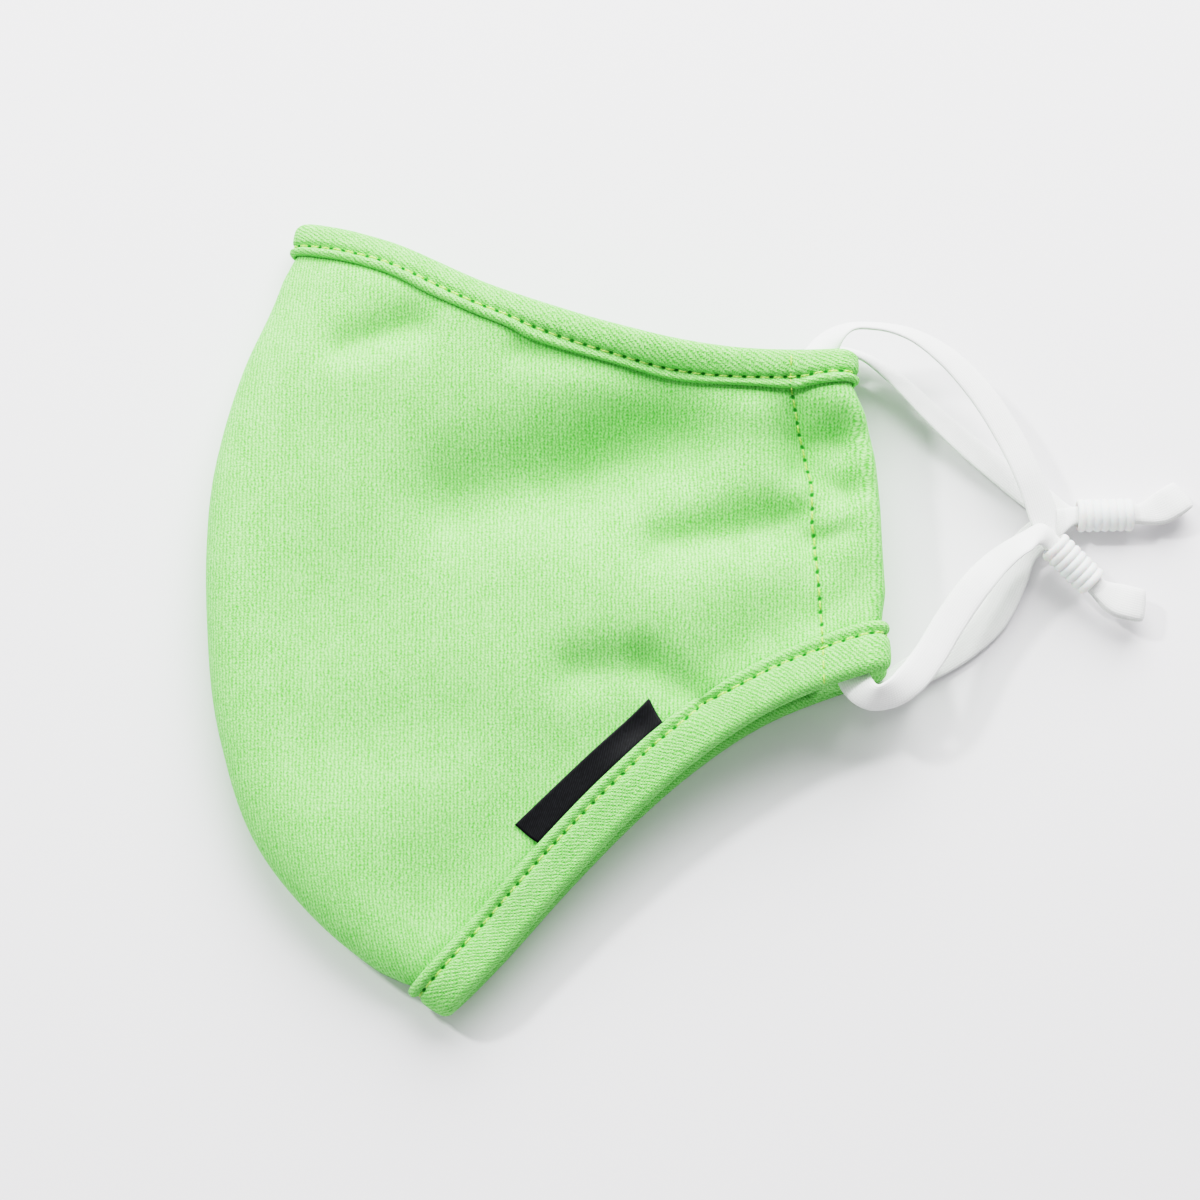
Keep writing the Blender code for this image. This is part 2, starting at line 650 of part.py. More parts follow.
def doubled_route(start, heading, dip):
    """Stations through an adjuster, round the small loop past it and back through it."""
    origin, way, width_heading = adjuster_axis(start, heading, dip)
    aside = -heading_3d(width_heading)
    up = np.cross(way, aside)
    apart = (ELASTIC_THICKNESS + GAP) / 2
    rows = []
    reach = ADJUSTER_LENGTH + TAIL_LENGTH
    out = [(0, -apart), (ADJUSTER_LENGTH / 2, -apart), (ADJUSTER_LENGTH, -apart)]
    out += [(ADJUSTER_LENGTH + TAIL_LENGTH / 2, -1.3 * apart)]
    loop = [
        (reach + TAIL_LOOP * math.sin(turn), -TAIL_LOOP * math.cos(turn))
        for turn in np.linspace(0, math.pi, 5)
    ]
    back = [(along, -height) for along, height in reversed(out)]
    for along, height in out + loop + back:
        past = max(along - ADJUSTER_LENGTH, 0) / TAIL_LENGTH
        point = origin + way * along + up * height + aside * TAIL_BEND * past**2
        turned = math.degrees(math.atan(2 * TAIL_BEND * past / TAIL_LENGTH))
        rows.append(Strand(*point, width_heading + turned, 0))
    return rows


def heading_3d(heading):
    """Level unit vector at this heading."""
    return np.array([*heading_vector(heading), 0])


def band_width(point, start, way):
    """Width of the band here: squeezed inside its adjuster and easing to full width outside."""
    along = (point - start) @ way
    aside = np.linalg.norm(point - start - along[:, None] * way, axis=1)
    outside = np.maximum(np.maximum(-along, along - ADJUSTER_LENGTH), 0)
    ease = smooth(np.hypot(outside, np.maximum(aside - ADJUSTER_DIAMETER / 2, 0)) / ELASTIC_WIDTH)
    return ELASTIC_SQUEEZED_WIDTH + (ELASTIC_WIDTH - ELASTIC_SQUEEZED_WIDTH) * ease


def from_ear_middle(strands):
    """The same strands with x and y from the origin."""
    return [
        Strand(one.x + EAR_MIDDLE[0], one.y + EAR_MIDDLE[1], one.z, one.heading, one.tip)
        for one in strands
    ]


def turned_over(knots, half_turns):
    """The same stations of the band, turned over this many times about its length."""
    flipped = knots.copy()
    flipped[:, 3] += 180 * half_turns
    flipped[:, 4] *= (-1) ** half_turns
    return flipped


def make_ear_loop(name, side, upper, lower, adjuster, half_turns, elastic):
    """A closed flat band: casing, upper strand, adjuster and back, lower strand."""
    free = [*from_ear_middle(upper), *doubled_route(*adjuster), *from_ear_middle(lower)]
    rows = [*casing_route(side), *free]
    knots = np.array([tuple(row) for row in rows], dtype=float)
    before = turned_over(knots[-1:], -half_turns)
    after = turned_over(knots[:2], half_turns)
    wrapped = np.concatenate([before, knots, after])
    knots = wrapped[1:-1]
    steps = np.linalg.norm(np.diff(knots[:, :3], axis=0), axis=1)
    at = np.concatenate([[0], np.cumsum(steps)])
    wrapped_at = np.concatenate([[-steps[-1]], at, [at[-1] + steps[0]]])
    slopes = np.gradient(wrapped, wrapped_at, axis=0)[1:-1]
    parts = []
    for index, step in enumerate(steps):
        count = max(1, round(step / ELASTIC_WIDTH * 2))
        t = (np.arange(count) / count)[:, None]
        parts.append(
            (2 * t**3 - 3 * t**2 + 1) * knots[index]
            + (t**3 - 2 * t**2 + t) * step * slopes[index]
            + (3 * t**2 - 2 * t**3) * knots[index + 1]
            + (t**3 - t**2) * step * slopes[index + 1]
        )
    path = np.concatenate(parts)
    point, heading, tip = path[:, :3], np.radians(path[:, 3]), np.radians(path[:, 4])
    across = np.stack(
        [np.cos(heading) * np.cos(tip), np.sin(heading) * np.cos(tip), np.sin(tip)], axis=1
    )
    way = np.roll(point, -1, axis=0) - np.roll(point, 1, axis=0)
    way /= np.linalg.norm(way, axis=1, keepdims=True)
    normal = np.cross(way, across)
    slant = np.linalg.norm(normal, axis=1, keepdims=True)
    normal /= slant
    start, axis, _ = adjuster_axis(*adjuster)
    half = band_width(point, start, axis)[:, None] / 2 / np.maximum(slant, 0.7)
    thick = ELASTIC_THICKNESS / 2
    ring = [(1, 0), (1, 1), (-1, 1), (-1, 0), (-1, -1), (1, -1)]
    corners_of = [
        point + across * (half * sign - sign * thick * 0.6 * abs(tall)) + normal * thick * tall
        for sign, tall in ring
    ]
    points = np.stack(corners_of, axis=1)
    shift = len(ring) // 2 * (half_turns % 2)
    faces = swept_faces(len(points), len(ring), is_closed=True, shift=shift)
    return mesh_object(name, points.reshape(-1, 3), faces, elastic, is_smooth=True)


def make_adjuster(name, adjuster, silicone):
    """A sleeve turned about its axis, with a ribbed outside and a plain bore."""
    start, way, width_heading = adjuster_axis(*adjuster)
    side = heading_3d(width_heading)
    up = np.cross(side, way)
    outer = ADJUSTER_DIAMETER / 2
    pitch = ADJUSTER_LENGTH / ADJUSTER_RIBS
    profile = []
    for rib in range(ADJUSTER_RIBS):
        profile.append((rib * pitch, outer - ADJUSTER_GROOVE))
        profile.append(((rib + 0.5) * pitch, outer))
    profile.append((ADJUSTER_LENGTH, outer - ADJUSTER_GROOVE))
    profile += [(ADJUSTER_LENGTH, ADJUSTER_BORE / 2), (0, ADJUSTER_BORE / 2)]
    turns = np.arange(14) / 14 * 2 * math.pi
    rings = [
        start + way * along + radius * (np.outer(np.cos(turns), side) + np.outer(np.sin(turns), up))
        for along, radius in profile
    ]
    points = np.stack(rings)
    faces = [face[::-1] for face in swept_faces(len(points), points.shape[1], is_closed=True)]
    return mesh_object(name, points.reshape(-1, 3), faces, silicone, is_smooth=True)


def main():
    for thing in list(bpy.data.objects):
        bpy.data.objects.remove(thing, do_unlink=True)

    knit = material("lime green knitted cloth", (0.31, 0.77, 0.22), 0.9)
    bias = material("lime green binding cloth", (0.27, 0.72, 0.18), 0.9)
    elastic = material("white soft elastic", (0.88, 0.88, 0.88), 0.8)
    silicone = material("white silicone rubber", (0.86, 0.86, 0.86), 0.45)
    woven = material("black woven label", (0.012, 0.012, 0.014), 0.5)

    make_half("right_panel", RIGHT, knit)
    make_half("left_panel", LEFT, knit)
    make_binding("top_binding", UPPER_BINDING_WIDTH, upper_share, no_lift, False, bias)
    make_binding("bottom_binding", LOWER_BINDING_WIDTH, lower_share, label_lift, True, bias)
    make_label("label", woven)

    right = (RIGHT_ADJUSTER_START, RIGHT_ADJUSTER_HEADING, RIGHT_ADJUSTER_DIP)
    left = (LEFT_ADJUSTER_START, LEFT_ADJUSTER_HEADING, LEFT_ADJUSTER_DIP)
    make_ear_loop("right_ear_loop", RIGHT, RIGHT_UPPER_STRAND, RIGHT_LOWER_STRAND, right,
                  RIGHT_HALF_TURNS, elastic)
    make_ear_loop("left_ear_loop", LEFT, LEFT_UPPER_STRAND, LEFT_LOWER_STRAND, left,
                  LEFT_HALF_TURNS, elastic)
    make_adjuster("right_loop_adjuster", right, silicone)
    make_adjuster("left_loop_adjuster", left, silicone)


main()
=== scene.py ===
"""Cloth face mask, folded flat along its centre seam and lying on its left half.

+X points from the seam to the ears, +Y from chin to nose and +Z up from the table. Shapes are worked
out in millimetres and turned into metres where a mesh is made.
"""

import math
from collections import namedtuple

import bpy
import numpy as np
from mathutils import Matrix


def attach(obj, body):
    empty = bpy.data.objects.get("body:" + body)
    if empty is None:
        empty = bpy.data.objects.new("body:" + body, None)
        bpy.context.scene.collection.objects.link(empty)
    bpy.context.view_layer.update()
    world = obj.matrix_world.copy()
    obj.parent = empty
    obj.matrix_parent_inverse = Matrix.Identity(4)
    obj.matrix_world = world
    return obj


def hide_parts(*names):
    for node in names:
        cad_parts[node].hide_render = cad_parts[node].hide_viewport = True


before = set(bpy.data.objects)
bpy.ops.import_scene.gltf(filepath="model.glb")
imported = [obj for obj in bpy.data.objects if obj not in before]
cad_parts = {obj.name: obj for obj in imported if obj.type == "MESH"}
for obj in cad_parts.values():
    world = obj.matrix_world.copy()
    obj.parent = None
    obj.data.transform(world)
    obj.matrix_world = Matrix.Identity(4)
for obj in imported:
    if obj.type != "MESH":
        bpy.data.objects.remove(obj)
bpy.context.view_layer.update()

# Halves of the mask
# Each half is cut from lime green cotton jersey with one bulging edge, where it is sewn to the other
# half. Its ear end is folded in and stitched down as a casing for the elastic. The right half lies
# uppermost and carries the soft folds that the folded mask has taken.

RIGHT, LEFT = 1, -1
NOSE_TO_CHIN = 153.6
EAR_HEIGHT = 60.0
EAR_REACH = 92.6
EAR_RISE = 17.1
SEAM_LEAN = 11.2
EAR_LEAN = 4.8
SEAM_MIDDLE = (-33.1, 2.4)

# A point of a curved edge: how far along the line between its ends and how far to the left of it,
# both as shares of the line's length
Bend = namedtuple("Bend", "along left")
SEAM_BENDS = (
    Bend(0.050, 0.052),
    Bend(0.130, 0.123),
    Bend(0.230, 0.180),
    Bend(0.380, 0.206),
    Bend(0.540, 0.194),
    Bend(0.700, 0.158),
    Bend(0.820, 0.101),
    Bend(0.920, 0.038),
)
UPPER_BENDS = (
    Bend(0.160, -0.011),
    Bend(0.380, -0.054),
    Bend(0.600, -0.070),
    Bend(0.800, -0.057),
    Bend(0.920, -0.027),
)
LOWER_BENDS = (
    Bend(0.140, 0.020),
    Bend(0.330, 0.054),
    Bend(0.500, 0.076),
    Bend(0.620, 0.082),
    Bend(0.780, 0.070),
    Bend(0.910, 0.034),
)
EAR_BENDS = (
    Bend(0.120, -0.011),
    Bend(0.350, -0.019),
    Bend(0.680, -0.023),
    Bend(0.800, -0.006),
    Bend(0.900, 0.007),
)

CLOTH = 1.6
CLOTH_IN_BINDING = 1.0
BINDING_CLOTH = 1.0
UPPER_BINDING_WIDTH = 6.6
LOWER_BINDING_WIDTH = 8.8
BINDING_EASE = 6.5
GAP = 0.3
TABLE_GAP = 0.1
BINDING_INNER = CLOTH_IN_BINDING / 2 + GAP
BINDING_OUTER = BINDING_INNER + BINDING_CLOTH

# Heights above the table of the middle of the cloth
SEAM_HEIGHT_AT_CORNERS = 5.6
SEAM_HEIGHT_IN_MIDDLE = 8.4
TURN_REACH_AT_CORNERS = 9.5
TURN_REACH_IN_MIDDLE = 10.0
RIGHT_HEIGHT_AT_CORNERS = 9.3
RIGHT_HEIGHT_BY_SEAM = 14.2
RIGHT_HEIGHT_AT_EAR_CORNERS = 18.0
RIGHT_HEIGHT_AT_EAR_MIDDLE = 15.2
CROWN = 2.6
LEFT_EDGE_RUN = 14.0
SEAM_GAP = 0.16
SEAM_CALM = 0.2

# Casing at the ear
HEM_WIDTH = 12.6
HEM_ALLOWANCE = 1.5
HEM_CLOSING = 2.1
ELASTIC_WIDTH = 6.0
ELASTIC_THICKNESS = 1.2
CHANNEL = ELASTIC_THICKNESS + 2 * GAP
CASING_GROOVE = 0.45
CASING_FULLNESS = 0.5
CASING_PUCKER = 0.22

# Places along a half, counted as in half_shares: the casing's stitch line, and where the outer face
# ends at the ear fold
STITCH_LINE = 2.0
FACE_END = 3.3

# Folds of the right half: ends as shares of the way from seam to ear (u) and from lower to upper
# edge (v), width and height in millimetres
Fold = namedtuple("Fold", "from_u from_v to_u to_v width height")
FOLDS = (
    Fold(0.40, 0.65, 0.70, 0.75, 9.5, -5.5),  # main valley, up to the right
    Fold(0.60, 0.65, 0.70, 0.80, 11.5, -3.5),  # its wide upper end
    Fold(0.15, 0.50, 0.40, 0.50, 20.0, -3.5),  # broad sag left of the valley
    Fold(0.10, 0.85, 0.70, 0.90, 13.0, 3.0),  # swell above the valley
    Fold(0.10, 0.95, 1.00, 0.80, 8.0, 3.0),  # swell along the upper binding
    Fold(0.10, 0.35, 0.35, 0.30, 11.0, -2.5),  # sag below the middle of the seam
    Fold(0.15, 0.85, 0.25, 0.90, 4.0, -3.0),  # dent by the nose corner
    Fold(0.45, 0.915, 0.90, 0.875, 3.5, -2.0),  # hollow under the upper lip
    Fold(0.90, 0.765, 0.95, 0.735, 5.0, -5.0),  # dents of the casing, from the top
    Fold(0.90, 0.66, 0.95, 0.58, 4.0, -3.5),
    Fold(0.90, 0.42, 0.95, 0.45, 3.0, -1.5),
    Fold(0.70, 0.515, 0.88, 0.51, 5.5, -4.5),  # pucker beside the casing
    Fold(0.55, 0.30, 0.63, 0.27, 5.0, -3.0),  # crease above the label
    Fold(0.65, 0.25, 0.69, 0.12, 3.5, -1.7),  # and its turn down to the lip
    Fold(0.60, 0.15, 0.80, 0.20, 8.0, -2.8),  # sag along the lower lip
    Fold(0.90, 0.25, 0.95, 0.25, 9.0, -2.5),  # sag at the foot of the casing
    Fold(0.10, 0.10, 0.45, 0.15, 14.0, -3.0),  # sag above the chin
)

KNIT_WALE = 0.70
KNIT_COURSE = 0.55
STITCH_PITCH = 2.5
# Painted shade round each needle hole: full within the first distance, none past the second, in mm
NEEDLE_HOLE = 0.20
NEEDLE_SHADE = 0.58


def smooth(x):
    """0 below 0, 1 above 1, and the S-shaped rise 3x^2 - 2x^3 between them."""
    x = np.clip(x, 0, 1)
    return x * x * (3 - 2 * x)


def heading_vector(heading):
    """Plan direction at this many degrees anticlockwise from +X."""
    return np.array([math.cos(math.radians(heading)), math.sin(math.radians(heading))])


def run(points):
    """Length along the points of a line from its first one."""
    steps = np.linalg.norm(np.diff(points, axis=0), axis=-1)
    return np.concatenate([np.zeros_like(steps[:1]), np.cumsum(steps, axis=0)])


def cubic(knots, slopes, at, where):
    """Curve at these places, past knots that stand at places at: in each stretch the cubic that has
    the knots and their slopes at its ends."""
    index = np.clip(np.searchsorted(at, where, side="right") - 1, 0, len(at) - 2)
    length = (at[index + 1] - at[index])[..., None]
    t = (where - at[index])[..., None] / length
    return (
        (2 * t**3 - 3 * t**2 + 1) * knots[index]
        + (t**3 - 2 * t**2 + t) * length * slopes[index]
        + (3 * t**2 - 2 * t**3) * knots[index + 1]
        + (t**3 - t**2) * length * slopes[index + 1]
    )


def through(knots, share):
    """Smooth curve through the knots at shares of its length, with slopes taken between the
    neighbours of each knot."""
    knots = np.asarray(knots, dtype=float)
    at = run(knots[:, :2])
    at = at / at[-1]
    return cubic(knots, np.gradient(knots, at, axis=0), at, np.asarray(share, dtype=float))


def bent_edge(start, end, bends):
    """Knots of an edge from start to end through its bends."""
    line = end - start
    left = np.array([-line[1], line[0]])
    return [start, *(start + bend.along * line + bend.left * left for bend in bends), end]


seam_middle = np.array(SEAM_MIDDLE)
seam_way = heading_vector(90 + SEAM_LEAN) * NOSE_TO_CHIN / 2
EAR_MIDDLE = seam_middle + np.array([EAR_REACH, EAR_RISE])
ear_way = heading_vector(90 + EAR_LEAN) * EAR_HEIGHT / 2
CHIN, NOSE = seam_middle - seam_way, seam_middle + seam_way
EAR_LOW, EAR_HIGH = EAR_MIDDLE - ear_way, EAR_MIDDLE + ear_way
SEAM_EDGE = bent_edge(CHIN, NOSE, SEAM_BENDS)
EAR_EDGE = bent_edge(EAR_LOW, EAR_HIGH, EAR_BENDS)
LOWER_EDGE = bent_edge(CHIN, EAR_LOW, LOWER_BENDS)
UPPER_EDGE = bent_edge(NOSE, EAR_HIGH, UPPER_BENDS)


def plan(u, v):
    """Plan point at share u from seam to ear and share v from lower to upper edge: the two ruled
    patches between facing edges, added, less the flat patch between the four corners."""
    u, v = np.broadcast_arrays(np.asarray(u, dtype=float), np.asarray(v, dtype=float))
    across, up = u[..., None], v[..., None]
    between_lower_upper = (1 - up) * through(LOWER_EDGE, u) + up * through(UPPER_EDGE, u)
    between_seam_ear = (1 - across) * through(SEAM_EDGE, v) + across * through(EAR_EDGE, v)
    low = (1 - across) * CHIN + across * EAR_LOW
    high = (1 - across) * NOSE + across * EAR_HIGH
    return between_lower_upper + between_seam_ear - (1 - up) * low - up * high


def plan_slopes(u, v):
    """Change of the plan point for each unit of u and of v."""
    step = 0.004
    u_low, u_high = np.clip(u - step, 0, 1), np.clip(u + step, 0, 1)
    v_low, v_high = np.clip(v - step, 0, 1), np.clip(v + step, 0, 1)
    by_u = (plan(u_high, v) - plan(u_low, v)) / (u_high - u_low)[..., None]
    by_v = (plan(u, v_high) - plan(u, v_low)) / (v_high - v_low)[..., None]
    return by_u, by_v


def edge_rate(u, v):
    """Millimetres away from the lower or upper edge for each unit of v, square to the edge."""
    by_u, by_v = plan_slopes(u, v)
    area = np.abs(by_u[..., 0] * by_v[..., 1] - by_u[..., 1] * by_v[..., 0])
    return area / np.linalg.norm(by_u, axis=-1)


def past_binding(u, v):
    """Distance past the lip of the nearer binding, below 0 inside the binding."""
    u, v = np.broadcast_arrays(np.asarray(u, dtype=float), np.asarray(v, dtype=float))
    rate = edge_rate(u, v)
    return np.minimum(v * rate - LOWER_BINDING_WIDTH, (1 - v) * rate - UPPER_BINDING_WIDTH)


def half_cloth(past):
    """Half the cloth's thickness: it is pressed thinner inside the binding."""
    return CLOTH_IN_BINDING / 2 + (CLOTH - CLOTH_IN_BINDING) / 2 * smooth(past / CLOTH)


def half_edge(past):
    """Half the thickness with the binding on it, easing to the bare cloth's past the binding."""
    return BINDING_OUTER + (CLOTH / 2 - BINDING_OUTER) * smooth((past - GAP) / BINDING_EASE)


def fold_height(folds, u, v):
    """Sum of rounded ridges and valleys, height * exp(-(distance / width)^2) off each fold's line."""
    point = plan(u, v)
    total = np.zeros(point.shape[:-1])
    for fold in folds:
        start = plan(fold.from_u, fold.from_v)
        line = plan(fold.to_u, fold.to_v) - start
        along = np.clip((point - start) @ line / (line @ line), 0, 1)[..., None]
        away = np.linalg.norm(point - start - along * line, axis=-1)
        total += fold.height * np.exp(-((away / fold.width) ** 2))
    return total


def level(side, u, v):
    """Height of the middle of the cloth, clear of the turn at the seam. The folds fade out towards
    the seam, over a share SEAM_CALM of the way to the ear."""
    if side == LEFT:
        at_edge = BINDING_OUTER + TABLE_GAP - CLOTH / 2
        inward = smooth((past_binding(u, v) - GAP) / LEFT_EDGE_RUN)
        return CLOTH / 2 + at_edge * (1 - inward)
    bulge = np.sin(math.pi * v)
    by_seam = RIGHT_HEIGHT_AT_CORNERS + (RIGHT_HEIGHT_BY_SEAM - RIGHT_HEIGHT_AT_CORNERS) * bulge
    sag = RIGHT_HEIGHT_AT_EAR_CORNERS - RIGHT_HEIGHT_AT_EAR_MIDDLE
    by_ear = RIGHT_HEIGHT_AT_EAR_CORNERS - sag * bulge
    crown = CROWN * np.sin(math.pi * u) * bulge
    calm = smooth(u / SEAM_CALM)
    return by_seam * (1 - u) + by_ear * u + crown + fold_height(FOLDS, u, v) * calm


def half_shares(a, v):
    """At places a along a half: share u, bulge of the seam, outward direction at the ear end and
    millimetres for each unit of u there.

    a is 0 at the seam, 1 at the end of the turn there, 2 on the casing's stitch line, 3 where the
    ear fold starts, 4 where it ends, 5 where the flap closes on the stitches, 6 at its raw edge.
    """
    zero, one = np.zeros_like(v), np.ones_like(v)
    seam_rate = np.linalg.norm(plan_slopes(zero, v)[0], axis=-1)
    ear_slope = plan_slopes(one, v)[0]
    ear_rate = np.linalg.norm(ear_slope, axis=-1)
    bulge = np.sin(math.pi * v)
    reach = TURN_REACH_AT_CORNERS + (TURN_REACH_IN_MIDDLE - TURN_REACH_AT_CORNERS) * bulge
    start = half_edge(past_binding(zero, v)) / seam_rate
    turned = start + reach / seam_rate
    stitched = 1 - HEM_WIDTH / ear_rate
    fold = 1 - (2 * half_edge(past_binding(one, v)) + CHANNEL / 2) / ear_rate
    opened = 1 - (HEM_WIDTH - HEM_CLOSING) / ear_rate
    raw = 1 - (HEM_WIDTH + HEM_ALLOWANCE) / ear_rate
    u = start + (turned - start) * (1 - np.cos(np.clip(a, 0, 1) * math.pi / 2))
    u = u + (stitched - turned) * np.clip(a - 1, 0, 1) + (fold - stitched) * np.clip(a - 2, 0, 1)
    u = u - (fold - opened) * np.clip(a - 4, 0, 1) - (opened - raw) * np.clip(a - 5, 0, 1)
    return u, bulge, ear_slope / ear_rate[..., None], ear_rate


def half_surface(side, a, v):
    """Middle of one half's cloth: a quarter of an ellipse at the seam, then the level above the
    table, and half a circle at the ear with the flap below it."""
    a, v = np.broadcast_arrays(np.asarray(a, dtype=float), np.asarray(v, dtype=float))
    u, bulge, outward, _ = half_shares(a, v)
    radius = half_edge(past_binding(u, v)) + CHANNEL / 2
    turning = np.clip(a, -1, 1) * math.pi / 2
    folding = np.clip(a - 3, 0, 1) * math.pi
    point = plan(u, v) + outward * (radius * np.sin(folding))[..., None]
    seam = SEAM_HEIGHT_AT_CORNERS + (SEAM_HEIGHT_IN_MIDDLE - SEAM_HEIGHT_AT_CORNERS) * bulge
    height = level(side, u, v)
    height = np.where(a < 1, seam + (height - seam) * np.sin(turning), height)
    drop = radius * (1 - np.cos(folding)) - (CHANNEL - GAP) * np.clip(a - 5, 0, 1)
    return np.concatenate([point, (height - side * drop)[..., None]], axis=-1)


def half_normal(side, a, v):
    """Outward normal of the middle of one half's cloth, from the slopes along it and across it."""
    step = 0.002
    v_low, v_high = np.clip(v - step, 0, 1), np.clip(v + step, 0, 1)
    a_low, a_high = np.clip(a - step, 0, 6), np.clip(a + step, 0, 6)
    by_a = half_surface(side, a_high, v) - half_surface(side, a_low, v)
    by_v = half_surface(side, a, v_high) - half_surface(side, a, v_low)
    normal = side * np.cross(by_a, by_v)
    return normal / np.linalg.norm(normal, axis=-1, keepdims=True)


def ear_distance(side, a, v):
    """Distance in from the ear edge along the cloth."""
    u, _, _, ear_rate = half_shares(a, v)
    return (1 - u) * ear_rate


def share_by_edge(a):
    """Share u at places a close to the lower or upper edge."""
    return half_shares(np.asarray(a, dtype=float), np.zeros_like(a, dtype=float))[0]


def lower_share(a, distance):
    """Share v at this distance in from the lower outline."""
    u = share_by_edge(a)
    return distance / edge_rate(u, np.zeros_like(u))


def upper_share(a, distance):
    """Share v at this distance in from the upper outline."""
    u = share_by_edge(a)
    return 1 - distance / edge_rate(u, np.ones_like(u))


def stations(turn, main, casing, fold, flap, closing):
    """Places a along one half, with so many rows in each of its stretches and closer rows beside the
    casing's stitch line."""
    closer = np.linspace(0, 1, main, endpoint=False)
    nearer = np.linspace(0, 1, casing, endpoint=False)
    parts = [
        np.linspace(0, 1, turn, endpoint=False),
        1 + 1 - (1 - closer) ** 1.25,
        2 + nearer**1.35,
        np.linspace(3, 4, fold, endpoint=False),
        np.linspace(4, 5, flap, endpoint=False),
        np.linspace(5, 6, closing),
    ]
    return np.concatenate(parts)


def ripple(u, v):
    """Small unevenness of soft jersey in millimetres: two products of long crossing sine waves,
    added."""
    x, y = np.moveaxis(plan(u, v), -1, 0)
    waves = np.sin(x / 5.1 + 0.35 * np.sin(y / 9.0)) * np.sin(y / 6.7 + 1.1)
    waves = waves + 0.8 * np.sin((x + 0.6 * y) / 8.3 + 0.8) * np.sin((y - 0.4 * x) / 10.9)
    return 0.10 * waves


def relief(side, a, v):
    """How far the cloth stands out or in: small ripples, the groove that the casing's stitches pull,
    the fullness of the casing over the elastic and the puckers beside the stitches."""
    u, _, _, ear_rate = half_shares(a, v)
    from_ear = (1 - u) * ear_rate
    y = v * EAR_HEIGHT
    groove = -CASING_GROOVE * np.exp(-(((from_ear - HEM_WIDTH) / 0.75) ** 2))
    full = CASING_FULLNESS * np.sin(math.pi * np.clip(from_ear / HEM_WIDTH, 0, 1))
    beside = np.exp(-(((from_ear - HEM_WIDTH) / 4.5) ** 2))
    pucker = CASING_PUCKER * beside * np.sin(y / 1.15 + 1.4 * np.sin(y / 4.3))
    calm = smooth(past_binding(u, v) / 4)
    return np.where(a < FACE_END, groove + (full + pucker + ripple(u, v)) * calm, 0)


def flat_place(along, across):
    """Field of places on flat cloth, from the lengths along it and across it."""
    return np.stack(np.broadcast_arrays(along, across, 0.0), axis=-1)


def cloth_mm(points, a, first, last):
    """Place on the flat cloth in millimetres: the plan of the part from a = first to last, and past
    it the length over the cloth, so that the knit runs on round the turn and the fold."""
    length = run(points)
    begin, end = np.searchsorted(a, first), np.searchsorted(a, last)
    x = points[..., 0].copy()
    x[:begin] = points[begin, :, 0] - (length[begin] - length[:begin])
    x[end:] = points[end, :, 0] + (length[end:] - length[end])
    return flat_place(x, points[..., 1])


def linear(code):
    """Linear colour of an sRGB hex code such as "8cdc64", with full opacity."""
    parts = [int(code[i:i + 2], 16) / 255 for i in (0, 2, 4)]
    return (*(c / 12.92 if c <= 0.04045 else ((c + 0.055) / 1.055) ** 2.4 for c in parts), 1)


def set_inputs(material, node, inputs):
    """Sets a node's inputs, named with _ for a space, or with i and their number. Each is a value,
    another node's output, or a node, which stands for its first output."""
    for name, value in inputs.items():
        socket = node.inputs[int(name[1:]) if name[1:].isdigit() else name.replace("_", " ")]
        if isinstance(value, bpy.types.Node):
            value = value.outputs[0]
        if isinstance(value, bpy.types.NodeSocket):
            material.node_tree.links.new(value, socket)
        else:
            socket.default_value = value


def add_node(material, kind, settings=None, **inputs):
    """Adds a node with its settings and inputs."""
    node = material.node_tree.nodes.new("ShaderNode" + kind)
    for name, value in (settings or {}).items():
        setattr(node, name, value)
    set_inputs(material, node, inputs)
    return node


def calc(material, operation, *values):
    """Adds a Math node of this operation on the values."""
    inputs = {f"i{number}": value for number, value in enumerate(values)}
    return add_node(material, "Math", {"operation": operation}, **inputs)


def add_ramp(material, share, colours):
    """Adds the change from the first colour to the second as the share goes from 0 to 1."""
    ramp = add_node(material, "ValToRGB", Fac=share)
    for element, code in zip(ramp.color_ramp.elements, colours):
        element.color = linear(code)
    return ramp


def read_field(material, name):
    """Adds the reading of a mesh's field and gives its vector."""
    return add_node(material, "Attribute", {"attribute_name": name}).outputs["Vector"]


def dress(material, **inputs):
    """Sets inputs of the material's Principled shader, as values or links."""
    set_inputs(material, material.node_tree.nodes["Principled BSDF"], inputs)


def new_material(name, **inputs):
    """A Principled material with these values on its shader's sockets."""
    made = bpy.data.materials.new(name)
    made.use_nodes = True
    dress(made, **inputs)
    return made


def put(name, points, faces, material, slot, replaces=(), **fields):
    """A finished piece: its mesh from points in millimetres, with one vector a vertex for each named
    field, its material, and its place in the frame."""
    mesh = bpy.data.meshes.new(name)
    mesh.from_pydata((np.asarray(points).reshape(-1, 3) * 0.001).tolist(), [], faces.tolist())
    for field, values in fields.items():
        layer = mesh.attributes.new(field, "FLOAT_VECTOR", "POINT")
        layer.data.foreach_set("vector", np.asarray(values, dtype=np.float32).ravel())
    mesh.polygons.foreach_set("use_smooth", [True] * len(mesh.polygons))
    mesh.materials.append(material)
    mesh.update()
    thing = bpy.data.objects.new(name, mesh)
    bpy.context.scene.collection.objects.link(thing)
    if replaces:
        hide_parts(*replaces)
    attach(thing, "root")
    return thing


def grid(rows, columns, first=0):
    """Four-cornered faces of a grid of vertices that starts at this index."""
    corner = first + np.arange(rows - 1)[:, None] * columns + np.arange(columns - 1)
    return np.stack([corner, corner + columns, corner + columns + 1, corner + 1], -1).reshape(-1, 4)


